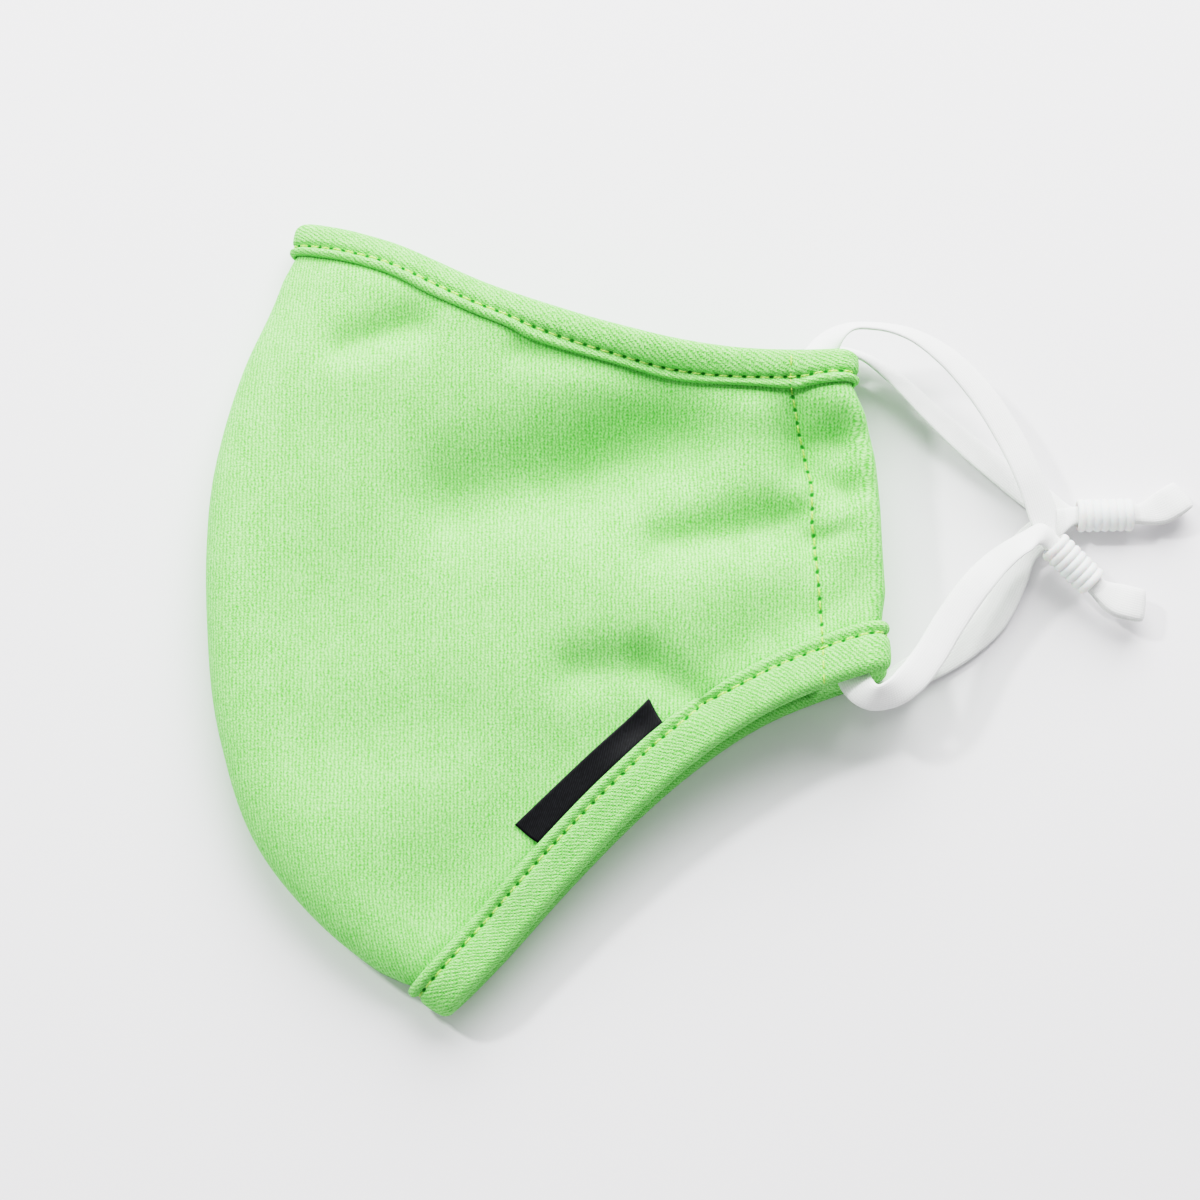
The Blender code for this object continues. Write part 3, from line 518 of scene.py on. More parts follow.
def sheet_faces(rows, columns):
    """Faces of a closed sheet: outer grid, inner grid turned over, and the rim that joins them."""
    count = rows * columns
    index = np.arange(count).reshape(rows, columns)
    border = np.concatenate([index[0], index[1:, -1], index[-1, -2::-1], index[-2:0:-1, 0]])
    after = np.roll(border, -1)
    rim = np.stack([border, after, after + count, border + count], -1)
    return np.concatenate([grid(rows, columns), grid(rows, columns, count)[:, ::-1], rim])


def jersey(name, wale, course, turn, colours, bump, row):
    """Fine plain knit: columns of V-shaped loops, one wale wide and one course high, turned by so
    many degrees. The height of a loop is a rounded rib across the wale with slanting legs on it. The
    colour goes from the shade between loops to the light on them, and a cotton yarn of uneven
    thickness mottles it, so that no wale is as light as the next. A needle hole shades it at each
    multiple of the stitch pitch along the line y = 0 of the row field."""
    made = new_material(name, Roughness=0.92, Sheen_Weight=0.08, Sheen_Roughness=0.5)
    place = read_field(made, "cloth")
    turned = add_node(made, "Mapping", Vector=place, Rotation=(0, 0, math.radians(turn)))
    stray = add_node(made, "TexNoise", Vector=turned, Scale=0.8, Detail=3.0)
    moved = add_node(made, "VectorMath", {"operation": "MULTIPLY_ADD"}, i0=stray.outputs["Color"],
                     i1=(wale * 1.5, course * 2.4, 0), i2=turned)
    parts = add_node(made, "SeparateXYZ", Vector=moved)
    across = calc(made, "PINGPONG", parts.outputs["X"], wale / 2)
    rib = calc(made, "MULTIPLY", across, 2 / wale)
    leg = calc(made, "MULTIPLY_ADD", rib, course * 0.7, parts.outputs["Y"])
    loops = calc(made, "SINE", calc(made, "MULTIPLY", leg, 2 * math.pi / course))
    height = calc(made, "MULTIPLY_ADD", loops, 0.3, calc(made, "POWER", rib, 0.6))
    yarn = add_node(made, "TexNoise", Vector=place, Scale=1.9, Detail=3.0, Roughness=0.75)
    cloud = add_node(made, "TexNoise", Vector=place, Scale=0.22, Detail=2.0)
    tone = calc(made, "MULTIPLY_ADD", yarn, 2.6, height)
    tone = calc(made, "MULTIPLY_ADD", cloud, 0.5, tone)
    spread = add_node(made, "MapRange", Value=tone, From_Min=1.5, From_Max=2.8)
    # Painted shade of the needle holes: deep green within NEEDLE_HOLE of each hole, fading out by
    # NEEDLE_SHADE
    spot = add_node(made, "SeparateXYZ", Vector=read_field(made, row))
    beside = calc(made, "PINGPONG", spot.outputs["X"], STITCH_PITCH / 2)
    off = add_node(made, "CombineXYZ", X=beside, Y=spot.outputs["Y"])
    away = add_node(made, "VectorMath", {"operation": "LENGTH"}, i0=off)
    shade = add_node(made, "MapRange", {"interpolation_type": "SMOOTHSTEP"},
                     Value=away.outputs["Value"], From_Min=NEEDLE_SHADE, From_Max=NEEDLE_HOLE)
    colour = add_node(made, "Mix", {"data_type": "RGBA"}, i0=shade,
                      i6=add_ramp(made, spread, colours), i7=linear("2f8428"))
    rise = calc(made, "MULTIPLY_ADD", yarn, 1.2, height)
    lift = add_node(made, "Bump", Strength=bump, Distance=0.00012, Height=rise)
    dress(made, Base_Color=colour.outputs[2], Normal=lift)
    return made


panel_jersey = jersey("lime green cotton jersey", KNIT_WALE, KNIT_COURSE, 0,
                      ("66c652", "adf199"), 0.6, "casing_row")


def make_half(name, side):
    """One half: the cloth's middle, moved out and in along its normal by half the thickness, with
    the relief on the right one's outer face."""
    a = stations(turn=16, main=110, casing=26, fold=12, flap=12, closing=5)
    rim = BINDING_CLOTH + GAP
    low, high = LOWER_BINDING_WIDTH, UPPER_BINDING_WIDTH
    lower = [lower_share(a, x) for x in (rim, low / 2, low - 0.6, low, low + 0.5, low + 1, low + 1.7)]
    upper = [upper_share(a, x) for x in (high + 1.7, high + 1, high + 0.5, high, high - 0.6, rim)]
    between = [lower[-1] + (upper[0] - lower[-1]) * part for part in np.linspace(0, 1, 112)[1:-1]]
    v = np.stack([*lower, *between, *upper], axis=1)
    along = np.broadcast_to(a[:, None], v.shape)
    middle = half_surface(side, along, v)
    normal = half_normal(side, along, v)
    middle[0, :, 2] += side * SEAM_GAP / 2
    half = half_cloth(past_binding(half_shares(along, v)[0], v))
    raised = relief(side, along, v) if side == RIGHT else np.zeros_like(v)
    outer = middle + normal * (half + raised)[..., None]
    inner = middle - normal * (half - np.clip(raised, -0.4, 0.2))[..., None]
    faces = sheet_faces(*v.shape)
    if side == LEFT:
        faces = faces[:, ::-1]
        outer[..., 2] = np.maximum(outer[..., 2], 0)
    place = cloth_mm(middle, a, 1, 3)
    line_v = np.linspace(0, 1, 200)
    down = np.interp(v, line_v, run(half_surface(side, STITCH_LINE, line_v)))
    row = flat_place(down, ear_distance(side, along, v) - HEM_WIDTH)
    node = "right_panel" if side == RIGHT else "left_panel"
    points = np.stack([outer, inner])
    return put(name, points, faces, panel_jersey, "knit", [node],
               cloth=np.stack([place, place]), casing_row=np.stack([row, row]))


right_half = make_half("right_half_jersey", RIGHT)
left_half = make_half("left_half_jersey", LEFT)

# Label
# A strip of black satin ribbon, cut to length with hot blades and laid flat on the right half. Its
# lower long edge is caught under the lower binding, by the stitches that hold the binding.

LABEL_LENGTH = 30.3
LABEL_SHOWN = 5.6
LABEL_TUCK = 2.6
LABEL_THICKNESS = 0.28
LABEL_FROM_CHIN = 36.0
LABEL_GAP = 0.12


def woven_satin():
    """Black satin weave: fine slanting floats of thread 0.3 mm apart, which break up its shine."""
    made = new_material("black woven satin ribbon", Roughness=0.5, Specular_IOR_Level=0.25)
    place = read_field(made, "cloth")
    turned = add_node(made, "Mapping", Vector=place, Rotation=(0, 0, math.radians(28)))
    floats = add_node(made, "TexWave", Vector=turned, Scale=1.05, Distortion=1.2, Detail=1.0)
    fluff = add_node(made, "TexNoise", Vector=place, Scale=1.4, Detail=3.0)
    tone = calc(made, "MULTIPLY", floats.outputs["Fac"], fluff)
    lift = add_node(made, "Bump", Strength=0.35, Distance=0.00006, Height=floats.outputs["Fac"])
    dress(made, Base_Color=add_ramp(made, tone, ("0b0b0d", "2e2f34")), Normal=lift)
    return made


label_satin = woven_satin()


def lower_lip(u):
    """Plan points of the lower binding's lip at shares u."""
    return plan(u, LOWER_BINDING_WIDTH / edge_rate(u, np.zeros_like(u)))


def lower_lip_length(u):
    """Length along the lip of the lower binding from the seam to share u."""
    shares = np.linspace(0, 1, 400)
    return np.interp(u, shares, run(lower_lip(shares)))


def lower_lip_share(length):
    """Share u at this length along the lip of the lower binding from the seam."""
    shares = np.linspace(0, 1, 400)
    return np.interp(length, lower_lip_length(shares), shares)


def past_chord(u):
    """How far the lower binding's lip bulges into the cloth past the chord from end to end."""
    points = lower_lip(u)
    chord = (points[-1] - points[0]) / np.linalg.norm(points[-1] - points[0])
    return (points - points[0]) @ np.array([-chord[1], chord[0]])


def make_label(name):
    """A thin straight strip on the right half, between two lengths along the binding's lip."""
    lengths = np.linspace(LABEL_FROM_CHIN, LABEL_FROM_CHIN + LABEL_LENGTH, 64)
    u = lower_lip_share(lengths)
    turned, stitched = share_by_edge(np.array([1.0, STITCH_LINE]))
    a = 1 + (u - turned) / (stitched - turned)
    lip = LOWER_BINDING_WIDTH
    bulge = past_chord(u)
    away = np.linspace(lip - LABEL_TUCK + bulge.max(), lip + LABEL_SHOWN, 22)
    along = np.broadcast_to(a[:, None], (len(a), len(away)))
    distance = away - bulge[:, None]
    v = lower_share(along, distance)
    normal = half_normal(RIGHT, along, v)
    half = LABEL_THICKNESS / 2
    lift = half_cloth(distance + CLOTH / 2 - lip) + LABEL_GAP + relief(RIGHT, along, v) + half
    middle = half_surface(RIGHT, along, v) + normal * lift[..., None]
    points = np.stack([middle + normal * half, middle - normal * half])
    place = flat_place(lengths[:, None], away)
    return put(name, points, sheet_faces(*v.shape), label_satin, "label", ["label"],
               cloth=np.stack([place, place]))


make_label("label_ribbon")

# Bindings
# A strip of the same jersey, cut on the bias, is folded over the raw upper edge of both halves and
# another over the lower edge. One row of stitches runs close to the folded-under lip, so the strip
# swells to a soft roll between the stitches and the edge, and the lip stands up beside them.

UPPER_LIP = 1.7
LOWER_LIP = 2.1
ROLL = 0.36
STITCH_DIP = 0.60
STITCH_PULL = 0.20
LIP_SWELL = 0.34
CASING_PULL = 0.35
LABEL_LIFT = 0.7
STRIP_TABLE_GAP = 0.03

# The rounded lip: how far each point stands past the strip's width, and its share of the height
LIP_ROUNDING = ((0.12, 0.15), (0.16, 0.55), (0.05, 0.85))

# What sets one binding apart: its piece and solid, sizes, edge and cloth
Strip = namedtuple("Strip", "piece node width lip edge_share is_lower finish")


def binding_height(d, width, lip, pull):
    """Height of the strip's outer face off the cloth's middle, at distance d in from the outline: a
    round edge, a swelling roll, the dip at the stitches and the rounded lip."""
    row = width - lip
    edge = np.sqrt(np.clip(1 - (1 - np.clip(d / BINDING_OUTER, 0, 1)) ** 2, 0, 1))
    roll = ROLL * np.sin(math.pi * np.clip(d / row, 0, 1)) ** 0.8
    dip = (STITCH_DIP + STITCH_PULL * pull) * np.exp(-(((d - row) / 0.52) ** 2))
    swell = LIP_SWELL * np.exp(-(((d - row - lip * 0.58) / (lip * 0.33)) ** 2))
    return BINDING_OUTER * edge + roll - dip + swell


def lip_lift(strip, side, a):
    """How far a binding's outer leg is lifted where the label's edge is caught under it, which is
    only under the lower one on the right half."""
    from_chin = lower_lip_length(share_by_edge(a))
    ease = LOWER_BINDING_WIDTH
    before = smooth((from_chin - LABEL_FROM_CHIN + 2 * ease) / ease)
    after = smooth((LABEL_FROM_CHIN + LABEL_LENGTH + 2 * ease - from_chin) / ease)
    lift = half_cloth(CLOTH / 2) - half_cloth(0) + LABEL_LIFT
    return lift * before * after * (side == RIGHT) * strip.is_lower


def lifted_share(d, width):
    """Share of the lift that reaches distance d in from the outline: none at the edge, all at the
    lip."""
    return smooth(d / width * 1.6 - 0.3)


def both_halves(**rows):
    """Places a from the right flap's raw edge round the seam to the left flap's, and their sides."""
    a = stations(**rows)
    return np.concatenate([a[::-1], a[1:]]), np.concatenate([a[::-1] * 0 + RIGHT, a[1:] * 0 + LEFT])


def on_both(function, side, a, v):
    """A surface function of one half, taken for each station on its own half."""
    split = int(np.sum(side == RIGHT))
    return np.concatenate([function(RIGHT, a[:split], v[:split]), function(LEFT, a[split:], v[split:])])


def make_binding(strip):
    """A folded strip over one edge: a ring of points carried along both halves. The ring follows the
    face from the outer leg's lip round the edge to the inner leg's, and comes back along the inside."""
    a, side = both_halves(turn=14, main=300, casing=40, fold=12, flap=20, closing=6)
    width, lip = strip.width, strip.lip
    length = run(on_both(half_surface, side, a, strip.edge_share(a, np.full_like(a, width - lip))))
    pull = np.cos(2 * math.pi * length / STITCH_PITCH)[:, None]
    raised = lip_lift(strip, side, a)[:, None]
    past_lip, low_share = np.transpose(LIP_ROUNDING)
    leg = np.concatenate([width + past_lip, np.linspace(width - 0.25, 0, 30)])
    share = np.concatenate([low_share, np.ones(30)])
    lining = np.concatenate([
        [width - 0.1], np.linspace(width - 0.8, BINDING_CLOTH + GAP, 6), [BINDING_CLOTH]])
    foot = half_cloth(0) + 0.06
    face = foot + (binding_height(leg, width, lip, pull) - foot) * share
    inside = BINDING_INNER * np.where(lining == BINDING_CLOTH, 0.5, 1) + 0 * raised
    height = np.concatenate([
        face + raised * lifted_share(leg, width),
        -face[:, -2::-1],
        -inside,
        (inside + raised * lifted_share(lining, width))[:, ::-1],
    ], axis=1)
    distance = np.concatenate([leg, leg[-2::-1], lining, lining[::-1]])
    along = np.broadcast_to(a[:, None], height.shape)
    v = strip.edge_share(along, np.broadcast_to(distance, height.shape))
    surface = on_both(half_surface, side, along, v)
    normal = on_both(half_normal, side, along, v)
    from_ear = on_both(ear_distance, side, along, v)
    squeeze = -CASING_PULL * np.exp(-(((from_ear - HEM_WIDTH) / 0.6) ** 2)) * (along < FACE_END)
    wobble = 0.05 * np.sin(length / 3.7 + 0.8 * np.sin(length / 9.0))[:, None]
    is_face = np.arange(len(distance)) < 2 * len(leg) - 1
    height = height + np.sign(height) * (squeeze + wobble) * is_face * (np.abs(height) > 1.2)
    points = surface + normal * height[..., None]
    points[..., 2] = np.maximum(points[..., 2], STRIP_TABLE_GAP)
    faces = tube_faces(*height.shape, False)
    if strip.is_lower:
        faces = faces[:, ::-1]
    across = run(np.column_stack([distance, height[100]]))
    on_leg = slice(len(LIP_ROUNDING), len(leg))
    across -= np.interp(lip, width - distance[on_leg], across[on_leg])
    place = flat_place(length[:, None], -across if strip.is_lower else across)
    piece = put(strip.piece, points, faces, strip.finish, "binding", [strip.node], cloth=place)
    return piece, length, a


def tube_faces(count, ring, is_closed, shift=0):
    """Faces of a ring of points carried along stations. A closed tube's last ring joins the first one
    shifted by so many points. An open end is capped by joining the ring's halves, pair by pair."""
    last = count if is_closed else count - 1
    here = (np.arange(last) * ring)[:, None]
    there = ((np.arange(last) + 1) % count * ring)[:, None]
    turn = np.where(np.arange(last) == count - 1, shift, 0)[:, None]
    corner = np.arange(ring)
    beside = (corner + 1) % ring
    facing, facing_beside = there + (corner + turn) % ring, there + (beside + turn) % ring
    faces = np.stack([here + corner, here + beside, facing_beside, facing], -1).reshape(-1, 4)
    if is_closed:
        return faces
    low = np.arange(ring // 2 - 1)
    facing = ring - 1 - low
    cap = np.stack([low, low + 1, facing - 1, facing], -1)
    return np.concatenate([faces, cap[:, ::-1], cap + (count - 1) * ring])


top_jersey, bottom_jersey = (
    jersey("lime green jersey cut on the bias, " + edge, 0.62, 0.5, turn,
           ("66c552", "adf098"), 1.0, "cloth")
    for edge, turn in (("upper strip", 64), ("lower strip", 42)))
UPPER_STRIP = Strip("top_binding_strip", "top_binding", UPPER_BINDING_WIDTH, UPPER_LIP,
                    upper_share, False, top_jersey)
LOWER_STRIP = Strip("bottom_binding_strip", "bottom_binding", LOWER_BINDING_WIDTH, LOWER_LIP,
                    lower_share, True, bottom_jersey)
top_strip, top_length, top_a = make_binding(UPPER_STRIP)
bottom_strip, bottom_length, bottom_a = make_binding(LOWER_STRIP)

# Stitches
# Yellow-green polyester thread in lockstitch, 2.5 mm a stitch along the bindings and down each
# casing. A stitch is a short round thread that dips into the cloth at both of its ends.

THREAD = 0.36
STITCH_SHARE = 0.72
STITCH_STATIONS = 7
THREAD_POINTS = 6


def twisted_thread():
    """Polyester thread: two plies twisted round each other show as slanting bands, painted light on
    the plies and painted shade in the grooves between them.
    """
    made = new_material("yellow-green polyester thread", Roughness=0.5, Sheen_Weight=0.1)
    plies = add_node(made, "TexWave", {"bands_direction": "DIAGONAL"},
                     Vector=read_field(made, "cloth"), Scale=0.9)
    # Painted light and shade of the twisted plies, as slanting bands of the ramp
    dress(made, Base_Color=add_ramp(made, plies.outputs["Fac"], ("93cb5c", "c9ed8c")))
    return made


thread_finish = twisted_thread()


def stitch_row(name, surface_at, total):
    """A row of stitches. surface_at gives, for lengths along the row, the points on the cloth and
    the normals there. Each stitch is an arch, whose thread is a ring of six points."""
    centres = np.arange(STITCH_PITCH / 2, total - STITCH_PITCH / 2, STITCH_PITCH)
    t = np.linspace(-1, 1, STITCH_STATIONS)
    lengths = centres[:, None] + t * STITCH_PITCH * STITCH_SHARE / 2
    points, normals = surface_at(lengths)
    arch = 0.14 * (1 - t**2) - 0.30 * np.abs(t) ** 5 + 0.05
    path = points + normals * arch[None, :, None]
    along = np.gradient(path, axis=1)
    along /= np.linalg.norm(along, axis=-1, keepdims=True)
    across = np.cross(normals, along)
    across /= np.linalg.norm(across, axis=-1, keepdims=True)
    up = np.cross(along, across)
    turn = np.arange(THREAD_POINTS) / THREAD_POINTS * 2 * math.pi
    radius = THREAD / 2 * np.sqrt(np.clip(1.05 - t**6, 0.2, 1))
    ring = across[..., None, :] * np.cos(turn)[:, None] + up[..., None, :] * np.sin(turn)[:, None]
    rings = path[..., None, :] + ring * radius[None, :, None, None]
    rings[..., 2] = np.maximum(rings[..., 2], 0)
    one = tube_faces(STITCH_STATIONS, THREAD_POINTS, False)
    first = np.arange(len(centres)) * STITCH_STATIONS * THREAD_POINTS
    faces = (one + first[:, None, None]).reshape(-1, 4)
    place = flat_place(lengths[..., None], np.arange(THREAD_POINTS) * 0.2)
    return put(name, rings, faces, thread_finish, "binding", cloth=place)


def binding_row(strip, length, a):
    """Gives the surface_at function of a binding's stitch row on its outer leg."""
    def surface_at(lengths):
        order = np.interp(lengths.ravel(), length, np.arange(len(length)))
        at = np.interp(order, np.arange(len(a)), a)
        half = np.where(order <= np.argmin(a), RIGHT, LEFT)
        away = strip.width - strip.lip
        v = strip.edge_share(at, np.full_like(at, away))
        normals = on_both(half_normal, half, at, v)
        raised = lip_lift(strip, half, at) * lifted_share(away, strip.width)
        height = binding_height(away, strip.width, strip.lip, 0.0) + raised
        points = on_both(half_surface, half, at, v) + normals * height[:, None]
        return points.reshape(*lengths.shape, 3), normals.reshape(*lengths.shape, 3)
    return surface_at


def casing_row(side):
    """Gives the surface_at function of a casing's stitch row and the row's length."""
    row_v = np.linspace(0, 1, 300)
    row_lengths = run(half_surface(side, STITCH_LINE, row_v))

    def surface_at(lengths):
        v = np.interp(lengths, row_lengths, row_v)
        at = np.full_like(v, STITCH_LINE)
        u = half_shares(at, v)[0]
        rate = edge_rate(u, v)
        from_low, from_high = v * rate, (1 - v) * rate
        on_low = binding_height(from_low, LOWER_BINDING_WIDTH, LOWER_LIP, 0.0) - CASING_PULL
        on_high = binding_height(from_high, UPPER_BINDING_WIDTH, UPPER_LIP, 0.0) - CASING_PULL
        bare = half_cloth(past_binding(u, v)) + (relief(side, at, v) if side == RIGHT else 0)
        height = np.where(from_low < LOWER_BINDING_WIDTH, on_low,
                          np.where(from_high < UPPER_BINDING_WIDTH, on_high, bare))
        normals = half_normal(side, at, v)
        return half_surface(side, at, v) + normals * height[..., None], normals
    return surface_at, row_lengths[-1]


stitch_row("top_binding_stitches", binding_row(UPPER_STRIP, top_length, top_a), top_length[-1])
stitch_row("bottom_binding_stitches", binding_row(LOWER_STRIP, bottom_length, bottom_a),
           bottom_length[-1])
stitch_row("right_casing_stitches", *casing_row(RIGHT))
stitch_row("left_casing_stitches", *casing_row(LEFT))

# Ear loops
# Flat, soft, white knitted elastic, 6 mm wide. Each band runs through a casing and both of its
# strands pass through the adjuster, past which they end in a small loop.

ELASTIC_INSET = HEM_WIDTH - HEM_CLOSING - GAP - ELASTIC_WIDTH / 2
ELASTIC_SQUEEZED_WIDTH = 3.2
ADJUSTER_LENGTH = 10.4
ADJUSTER_DIAMETER = 6.2
RIGHT_ADJUSTER = ((34.1, -4.9, 7.2), -43.8, -9.0)
LEFT_ADJUSTER = ((39.3, 1.6, ADJUSTER_DIAMETER / 2 + TABLE_GAP), 1.0, 0.0)
TAIL_LENGTH = 8.0
TAIL_LOOP = 1.5
TAIL_BEND = 2.6
RIGHT_HALF_TURNS, LEFT_HALF_TURNS = -1, 0
BAND_STATIONS = 620
BAND_POINTS = 20
MOUTH_COVER = 0.18

# Middle of the band, with x and y from the middle of the ear end, plan direction in which its width
# points and how far that tips up, in degrees. The right band turns over once at the lower mouth
Strand = namedtuple("Strand", "x y z heading tip")
RIGHT_UPPER_STRAND = (
    Strand(-7.3, 32.7, 15.3, -25, 40),
    Strand(-4.1, 34.8, 15.0, -62, 62),
    Strand(1.2, 35.3, 14.2, -92, 65),
    Strand(7.4, 34.3, 13.0, -110, 55),
    Strand(14.1, 30.5, 11.8, -128, 38),
    Strand(19.8, 24.8, 10.9, -138, 27),
    Strand(25.4, 16.5, 9.9, -149, 22),
    Strand(29.6, 8.0, 9.0, -155, 20),
    Strand(32.4, 0.7, 7.3, -150, 10),
)
RIGHT_LOWER_STRAND = (
    Strand(31.7, -3.6, 9.6, -112, 25),
    Strand(28.4, -5.2, 10.4, -84, 40),
    Strand(23.6, -8.6, 10.2, -58, 32),
    Strand(19.0, -13.5, 10.7, -43, 14),
    Strand(13.9, -20.7, 11.2, -35, 4),
    Strand(9.7, -27.5, 12.4, -38, -4),
    Strand(6.1, -31.9, 13.9, -52, -16),
    Strand(2.7, -34.5, 15.2, -76, -38),
    Strand(-0.7, -35.3, 15.8, -116, -46),
)
LEFT_UPPER_STRAND = (
    Strand(-8.9, 32.1, 4.9, -28, 45),
    Strand(-5.9, 33.4, 5.0, -75, 68),
    Strand(-1.0, 32.4, 4.7, -112, 64),
    Strand(4.7, 28.8, 4.1, -127, 52),
    Strand(11.8, 22.1, 3.4, -133, 40),
    Strand(18.2, 16.2, 2.8, -132, 30),
    Strand(25.5, 10.2, 2.3, -128, 20),
    Strand(31.9, 5.4, 1.7, -119, 10),
    Strand(36.1, 2.8, 1.7, -105, 4),
)
LEFT_LOWER_STRAND = (
    Strand(36.1, 0.4, 4.0, -75, 4),
    Strand(32.1, -1.9, 3.1, -55, 6),
    Strand(28.9, -5.1, 1.7, -36, 4),
    Strand(27.1, -9.7, 1.4, -18, 4),
    Strand(25.7, -12.9, 1.3, -22, 4),
    Strand(23.2, -17.4, 1.2, -32, 2),
    Strand(18.8, -21.7, 1.2, -45, 0),
    Strand(13.3, -25.4, 1.3, -56, 0),
    Strand(7.7, -28.2, 1.7, -66, 0),
    Strand(3.4, -31.0, 2.6, -56, 25),
    Strand(0.8, -32.2, 2.9, -44, 20),
    Strand(-1.4, -32.6, 4.0, -34, 16),
    Strand(-3.4, -32.0, 4.8, -10, 4),
)


def knitted_elastic():
    """Warp-knitted elastic: fine ribs along the band, 0.45 mm apart, crossed by rows of loops 0.5 mm
    apart, with a faint grey of painted shade in the furrows and a little unevenness where the
    band is bent."""
    made = new_material("white soft knitted elastic", Roughness=0.85, Sheen_Weight=0.15)
    place = read_field(made, "cloth")
    stray = add_node(made, "TexNoise", Vector=place, Scale=1.5, Detail=2.0)
    moved = add_node(made, "VectorMath", {"operation": "MULTIPLY_ADD"}, i0=stray.outputs["Color"],
                     i1=(0.5, 0.3, 0), i2=place)
    ribs = add_node(made, "TexWave", {"bands_direction": "Y"}, Vector=moved, Scale=0.7)
    rows = add_node(made, "TexWave", {"bands_direction": "X"}, Vector=moved, Scale=0.63)
    cloud = add_node(made, "TexNoise", Vector=place, Scale=0.25, Detail=2.0)
    height = calc(made, "MULTIPLY_ADD", rows.outputs["Fac"], 0.4, ribs.outputs["Fac"])
    tone = calc(made, "MULTIPLY_ADD", cloud, 1.2, height)
    spread = add_node(made, "MapRange", Value=tone, From_Min=0.4, From_Max=1.8)
    lift = add_node(made, "Bump", Strength=0.35, Distance=0.00008, Height=height)
    # Painted shade: the colour goes a faint grey where the knit is low, in the furrows between ribs and
    # rows
    dress(made, Base_Color=add_ramp(made, spread, ("e9eae8", "f7f8f6")), Normal=lift)
    return made


elastic_knit = knitted_elastic()


def casing_route(side):
    """Stations of the band inside a casing, from the lower mouth to the upper one."""
    covered = np.linspace(MOUTH_COVER, 1, 4)[:-1]
    ease = np.linspace(0, BINDING_EASE + GAP, 5)
    low = np.concatenate([covered * LOWER_BINDING_WIDTH, LOWER_BINDING_WIDTH + ease]) / EAR_HEIGHT
    high = np.concatenate([covered * UPPER_BINDING_WIDTH, UPPER_BINDING_WIDTH + ease]) / EAR_HEIGHT
    v = np.concatenate([low, np.linspace(0.32, 0.72, 6), 1 - high[::-1]])
    slope = plan_slopes(np.ones_like(v), v)[0]
    rate = np.linalg.norm(slope, axis=-1)
    u = 1 - ELASTIC_INSET / rate
    height = level(side, u, v) - side * (half_edge(past_binding(u, v)) + CHANNEL / 2)
    heading = np.degrees(np.arctan2(slope[:, 1], slope[:, 0]))
    beside = ELASTIC_WIDTH / 2 / rate
    rise = level(side, u + beside, v) - level(side, u - beside, v)
    tip = np.degrees(np.arctan2(rise, ELASTIC_WIDTH))
    return np.column_stack([plan(u, v), height, heading, tip])


def adjuster_axis(start, heading, dip):
    """Start, unit direction and level side direction of an adjuster."""
    flat = heading_vector(heading) * math.cos(math.radians(dip))
    origin = np.array([*EAR_MIDDLE, 0]) + start
    return origin, np.array([*flat, math.sin(math.radians(dip))]), heading - 90


def doubled_route(start, heading, dip):
    """Stations through an adjuster, round the small loop past it and back through it."""
    origin, way, width_heading = adjuster_axis(start, heading, dip)
    aside = -np.array([*heading_vector(width_heading), 0])
    up = np.cross(way, aside)
    apart = (ELASTIC_THICKNESS + GAP) / 2
    reach = ADJUSTER_LENGTH + TAIL_LENGTH
    out = [(0, -apart), (ADJUSTER_LENGTH / 2, -apart), (ADJUSTER_LENGTH, -apart)]
    out += [(ADJUSTER_LENGTH + TAIL_LENGTH / 2, -1.3 * apart)]
    turns = np.linspace(0, math.pi, 5)
    loop = [(reach + TAIL_LOOP * math.sin(turn), -TAIL_LOOP * math.cos(turn)) for turn in turns]
    back = [(along, -height) for along, height in reversed(out)]
    steps = np.array(out + loop + back)
    past = np.maximum(steps[:, :1] - ADJUSTER_LENGTH, 0) / TAIL_LENGTH
    points = origin + steps[:, :1] * way + steps[:, 1:] * up + aside * TAIL_BEND * past**2
    facing = width_heading + np.degrees(np.arctan(2 * TAIL_BEND * past / TAIL_LENGTH))
    return np.hstack([points, facing, facing * 0])


def band_width(point, start, way):
    """Width of the band here: squeezed inside its adjuster and easing to full width outside."""
    along = (point - start) @ way
    aside = np.linalg.norm(point - start - along[:, None] * way, axis=1)
    outside = np.maximum(np.maximum(-along, along - ADJUSTER_LENGTH), 0)
    ease = smooth(np.hypot(outside, np.maximum(aside - ADJUSTER_DIAMETER / 2, 0)) / ELASTIC_WIDTH)
    return ELASTIC_SQUEEZED_WIDTH + (ELASTIC_WIDTH - ELASTIC_SQUEEZED_WIDTH) * ease


def turned_over(rows, half_turns):
    """The same stations of the band, turned over this many times about its length."""
    return rows * [1, 1, 1, 1, (-1) ** half_turns] + [0, 0, 0, 180 * half_turns, 0]


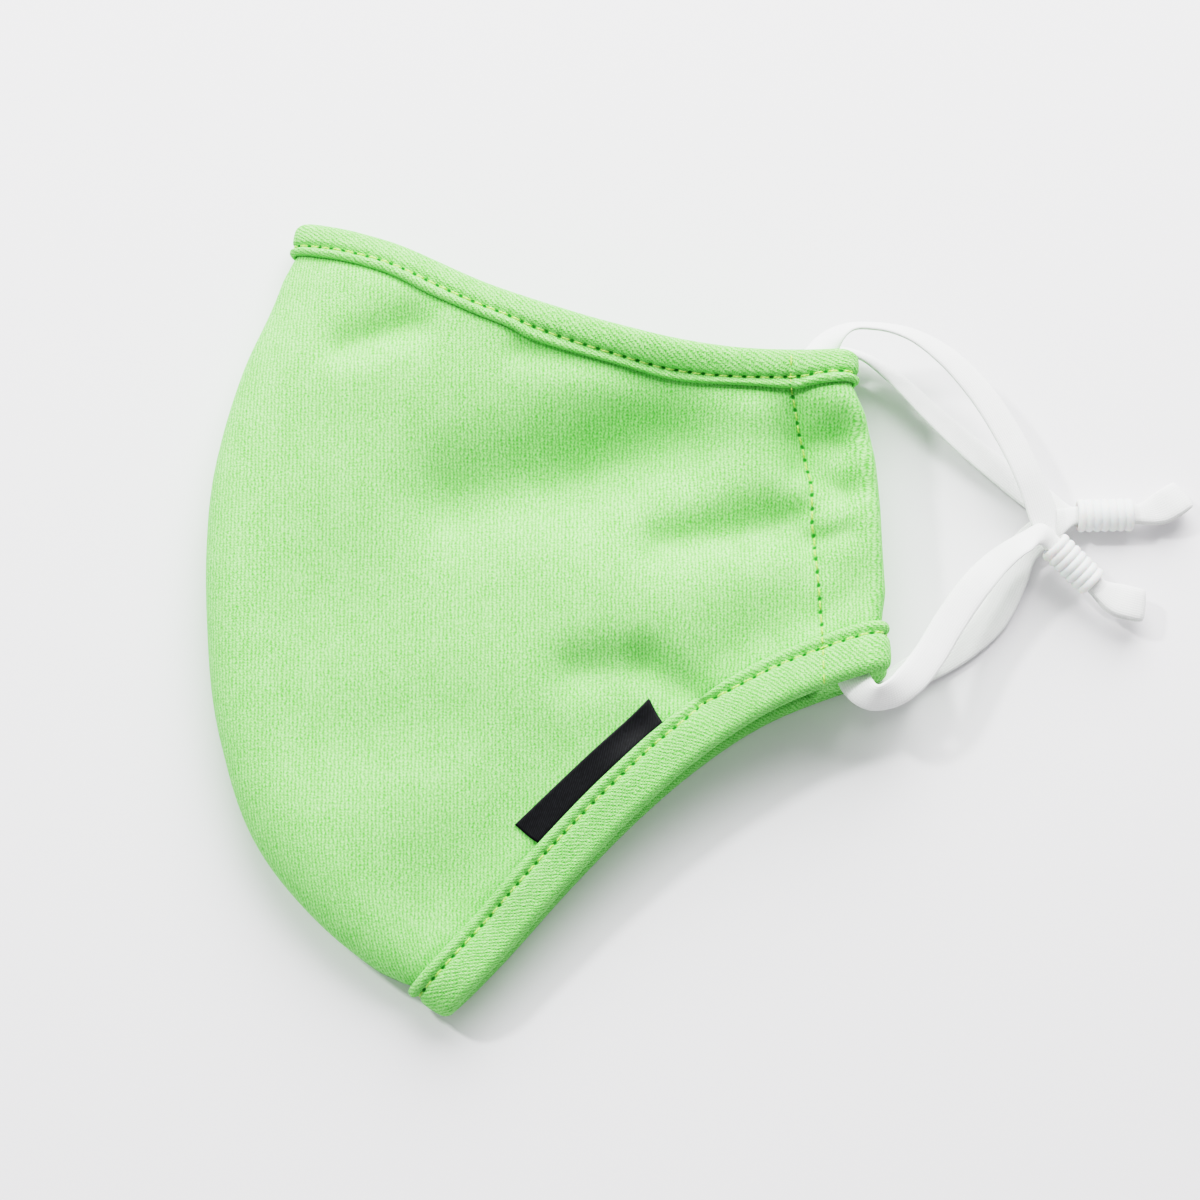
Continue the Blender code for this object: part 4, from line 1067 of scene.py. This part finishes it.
def make_ear_loop(name, node, side, upper, lower, adjuster, half_turns):
    """A closed flat band through the casing, the upper strand, the adjuster and the lower strand. Its
    section is an oval squared off along both faces."""
    from_ear = [*EAR_MIDDLE, 0, 0, 0]
    rows = np.vstack([casing_route(side), upper + np.array(from_ear), doubled_route(*adjuster),
                      lower + np.array(from_ear)])
    wrapped = np.vstack([turned_over(rows[-1:], -half_turns), rows, turned_over(rows[:2], half_turns)])
    knots = wrapped[1:-1]
    at = run(knots[:, :3])
    steps = np.diff(at)
    wrapped_at = np.concatenate([[-steps[-1]], at, [at[-1] + steps[0]]])
    slopes = np.gradient(wrapped, wrapped_at, axis=0)[1:-1]
    where = np.linspace(0, at[-1], BAND_STATIONS, endpoint=False)
    path = cubic(knots, slopes, at, where)
    point, heading, tip = path[:, :3], np.radians(path[:, 3]), np.radians(path[:, 4])
    across = np.column_stack([np.cos(heading) * np.cos(tip), np.sin(heading) * np.cos(tip), np.sin(tip)])
    way = np.roll(point, -1, axis=0) - np.roll(point, 1, axis=0)
    way /= np.linalg.norm(way, axis=1, keepdims=True)
    normal = np.cross(way, across)
    slant = np.linalg.norm(normal, axis=1, keepdims=True)
    normal /= slant
    start, axis, _ = adjuster_axis(*adjuster)
    half = band_width(point, start, axis)[:, None] / 2 / np.maximum(slant, 0.7)
    turn = np.arange(BAND_POINTS) / BAND_POINTS * 2 * math.pi
    flat = np.sign(np.cos(turn)) * np.abs(np.cos(turn)) ** 0.7
    tall = np.sign(np.sin(turn)) * np.abs(np.sin(turn)) ** 0.9
    wide = across[:, None] * (half * flat)[..., None]
    thick = normal[:, None] * (ELASTIC_THICKNESS / 2 * tall)[:, None]
    around = run(np.column_stack([flat * ELASTIC_WIDTH / 2, tall * ELASTIC_THICKNESS / 2]))
    faces = tube_faces(BAND_STATIONS, BAND_POINTS, True, BAND_POINTS // 2 * (half_turns % 2))
    return put(name, point[:, None] + wide + thick, faces, elastic_knit, "elastic", [node],
               cloth=flat_place(where[:, None], around))


make_ear_loop("right_elastic", "right_ear_loop", RIGHT, RIGHT_UPPER_STRAND, RIGHT_LOWER_STRAND,
              RIGHT_ADJUSTER, RIGHT_HALF_TURNS)
make_ear_loop("left_elastic", "left_ear_loop", LEFT, LEFT_UPPER_STRAND, LEFT_LOWER_STRAND,
              LEFT_ADJUSTER, LEFT_HALF_TURNS)

# Adjusters
# Ribbed sleeves moulded in white silicone rubber. Each is drawn over both strands of an ear loop and
# grips them, so that it can be slid along to make the loop shorter.

ADJUSTER_RIBS = 7
ADJUSTER_GROOVE = 0.34
ADJUSTER_BORE = 4.7
STEPS_A_RIB = 10
SLEEVE_POINTS = 48


def moulded_silicone():
    """Milky silicone rubber: soft shine that dust dulls in patches, and light that enters 2 mm."""
    made = new_material("white moulded silicone rubber", Subsurface_Weight=0.25,
                        Subsurface_Scale=0.002)
    place = add_node(made, "TexCoord").outputs["Object"]
    dust = add_node(made, "TexNoise", Vector=place, Scale=900.0, Detail=3.0)
    dull = add_node(made, "MapRange", Value=dust, To_Min=0.36, To_Max=0.6)
    lift = add_node(made, "Bump", Strength=0.1, Distance=0.00004, Height=dust)
    dress(made, Roughness=dull, Base_Color=add_ramp(made, dust, ("ecedeb", "f6f7f5")), Normal=lift)
    return made


silicone = moulded_silicone()


def make_adjuster(name, node, adjuster):
    """A sleeve turned about its axis: rounded ribs outside, rounded ends and a plain bore."""
    start, way, width_heading = adjuster_axis(*adjuster)
    side = np.array([*heading_vector(width_heading), 0])
    up = np.cross(side, way)
    along = np.linspace(0, 1, ADJUSTER_RIBS * STEPS_A_RIB + 1)
    ribs = np.abs(np.sin(math.pi * along * ADJUSTER_RIBS)) ** 0.7
    radius = ADJUSTER_DIAMETER / 2 - ADJUSTER_GROOVE * (1 - ribs)
    length = np.concatenate([along * ADJUSTER_LENGTH, [ADJUSTER_LENGTH, 0]])
    radius = np.concatenate([radius, [ADJUSTER_BORE / 2, ADJUSTER_BORE / 2]])
    turn = np.arange(SLEEVE_POINTS) / SLEEVE_POINTS * 2 * math.pi
    spoke = np.outer(np.cos(turn), side) + np.outer(np.sin(turn), up)
    points = start + way * length[:, None, None] + radius[:, None, None] * spoke
    faces = tube_faces(len(length), SLEEVE_POINTS, True)[:, ::-1]
    return put(name, points, faces, silicone, "silicone", [node])


make_adjuster("right_ribbed_adjuster", "right_loop_adjuster", RIGHT_ADJUSTER)
make_adjuster("left_ribbed_adjuster", "left_loop_adjuster", LEFT_ADJUSTER)

# Floor, lights and camera
# A white table top under soft light: a large lamp over the nose edge and a little to the ear side, a
# small one past the nose end of the seam, and an even pale surrounding.

floor_finish = new_material("white table top", Roughness=0.6, Base_Color=linear("ecebed"))
floor_mesh = bpy.data.meshes.new("floor")
floor_mesh.from_pydata([(-2, -2, 0), (2, -2, 0), (2, 2, 0), (-2, 2, 0)], [], [(0, 1, 2, 3)])
floor_mesh.materials.append(floor_finish)
floor = bpy.data.objects.new("floor", floor_mesh)
bpy.context.scene.collection.objects.link(floor)

world = bpy.data.worlds.new("pale surrounding")
world.use_nodes = True
world.node_tree.nodes["Background"].inputs["Color"].default_value = linear("fdfdff")
world.node_tree.nodes["Background"].inputs["Strength"].default_value = 0.43
bpy.context.scene.world = world
bpy.context.scene.view_settings.view_transform = "Filmic"
bpy.context.scene.view_settings.look = "Very High Contrast"


def add_lamp(name, azimuth, elevation, distance, size, power):
    """A square lamp aimed at the mask; azimuth 0 is towards the nose edge and 90 towards the seam."""
    light = bpy.data.lights.new(name, "AREA")
    light.size = size
    light.energy = power
    lamp = bpy.data.objects.new(name, light)
    turn, rise = math.radians(azimuth), math.radians(elevation)
    back = np.array([-math.sin(turn) * math.cos(rise), math.cos(turn) * math.cos(rise), math.sin(rise)])
    lamp.location = back * distance
    lamp.rotation_euler = (math.pi / 2 - rise, 0, math.pi + turn)
    bpy.context.scene.collection.objects.link(lamp)
    return lamp


add_lamp("large lamp over the nose edge", -10, 39, 0.9, 0.8, 13.8)
add_lamp("small lamp at the upper left", 56, 46, 1.4, 0.12, 8.2)

# The view's distance from the aim and half its width there, in metres
VIEW_DISTANCE = 0.6
VIEW_HALF_WIDTH = 0.111

camera_data = bpy.data.cameras.new("camera")
camera_data.sensor_width = 36
camera_data.lens = camera_data.sensor_width * VIEW_DISTANCE / (2 * VIEW_HALF_WIDTH)
camera = bpy.data.objects.new("camera", camera_data)
view_rise = math.radians(78)
aim = np.array([0.00925, 0.00378, 0.0086])
camera.location = aim + VIEW_DISTANCE * np.array([0, -math.cos(view_rise), math.sin(view_rise)])
camera.rotation_euler = (math.pi / 2 - view_rise, 0, 0)
camera_data.clip_start = 0.01
bpy.context.scene.collection.objects.link(camera)
bpy.context.scene.camera = camera
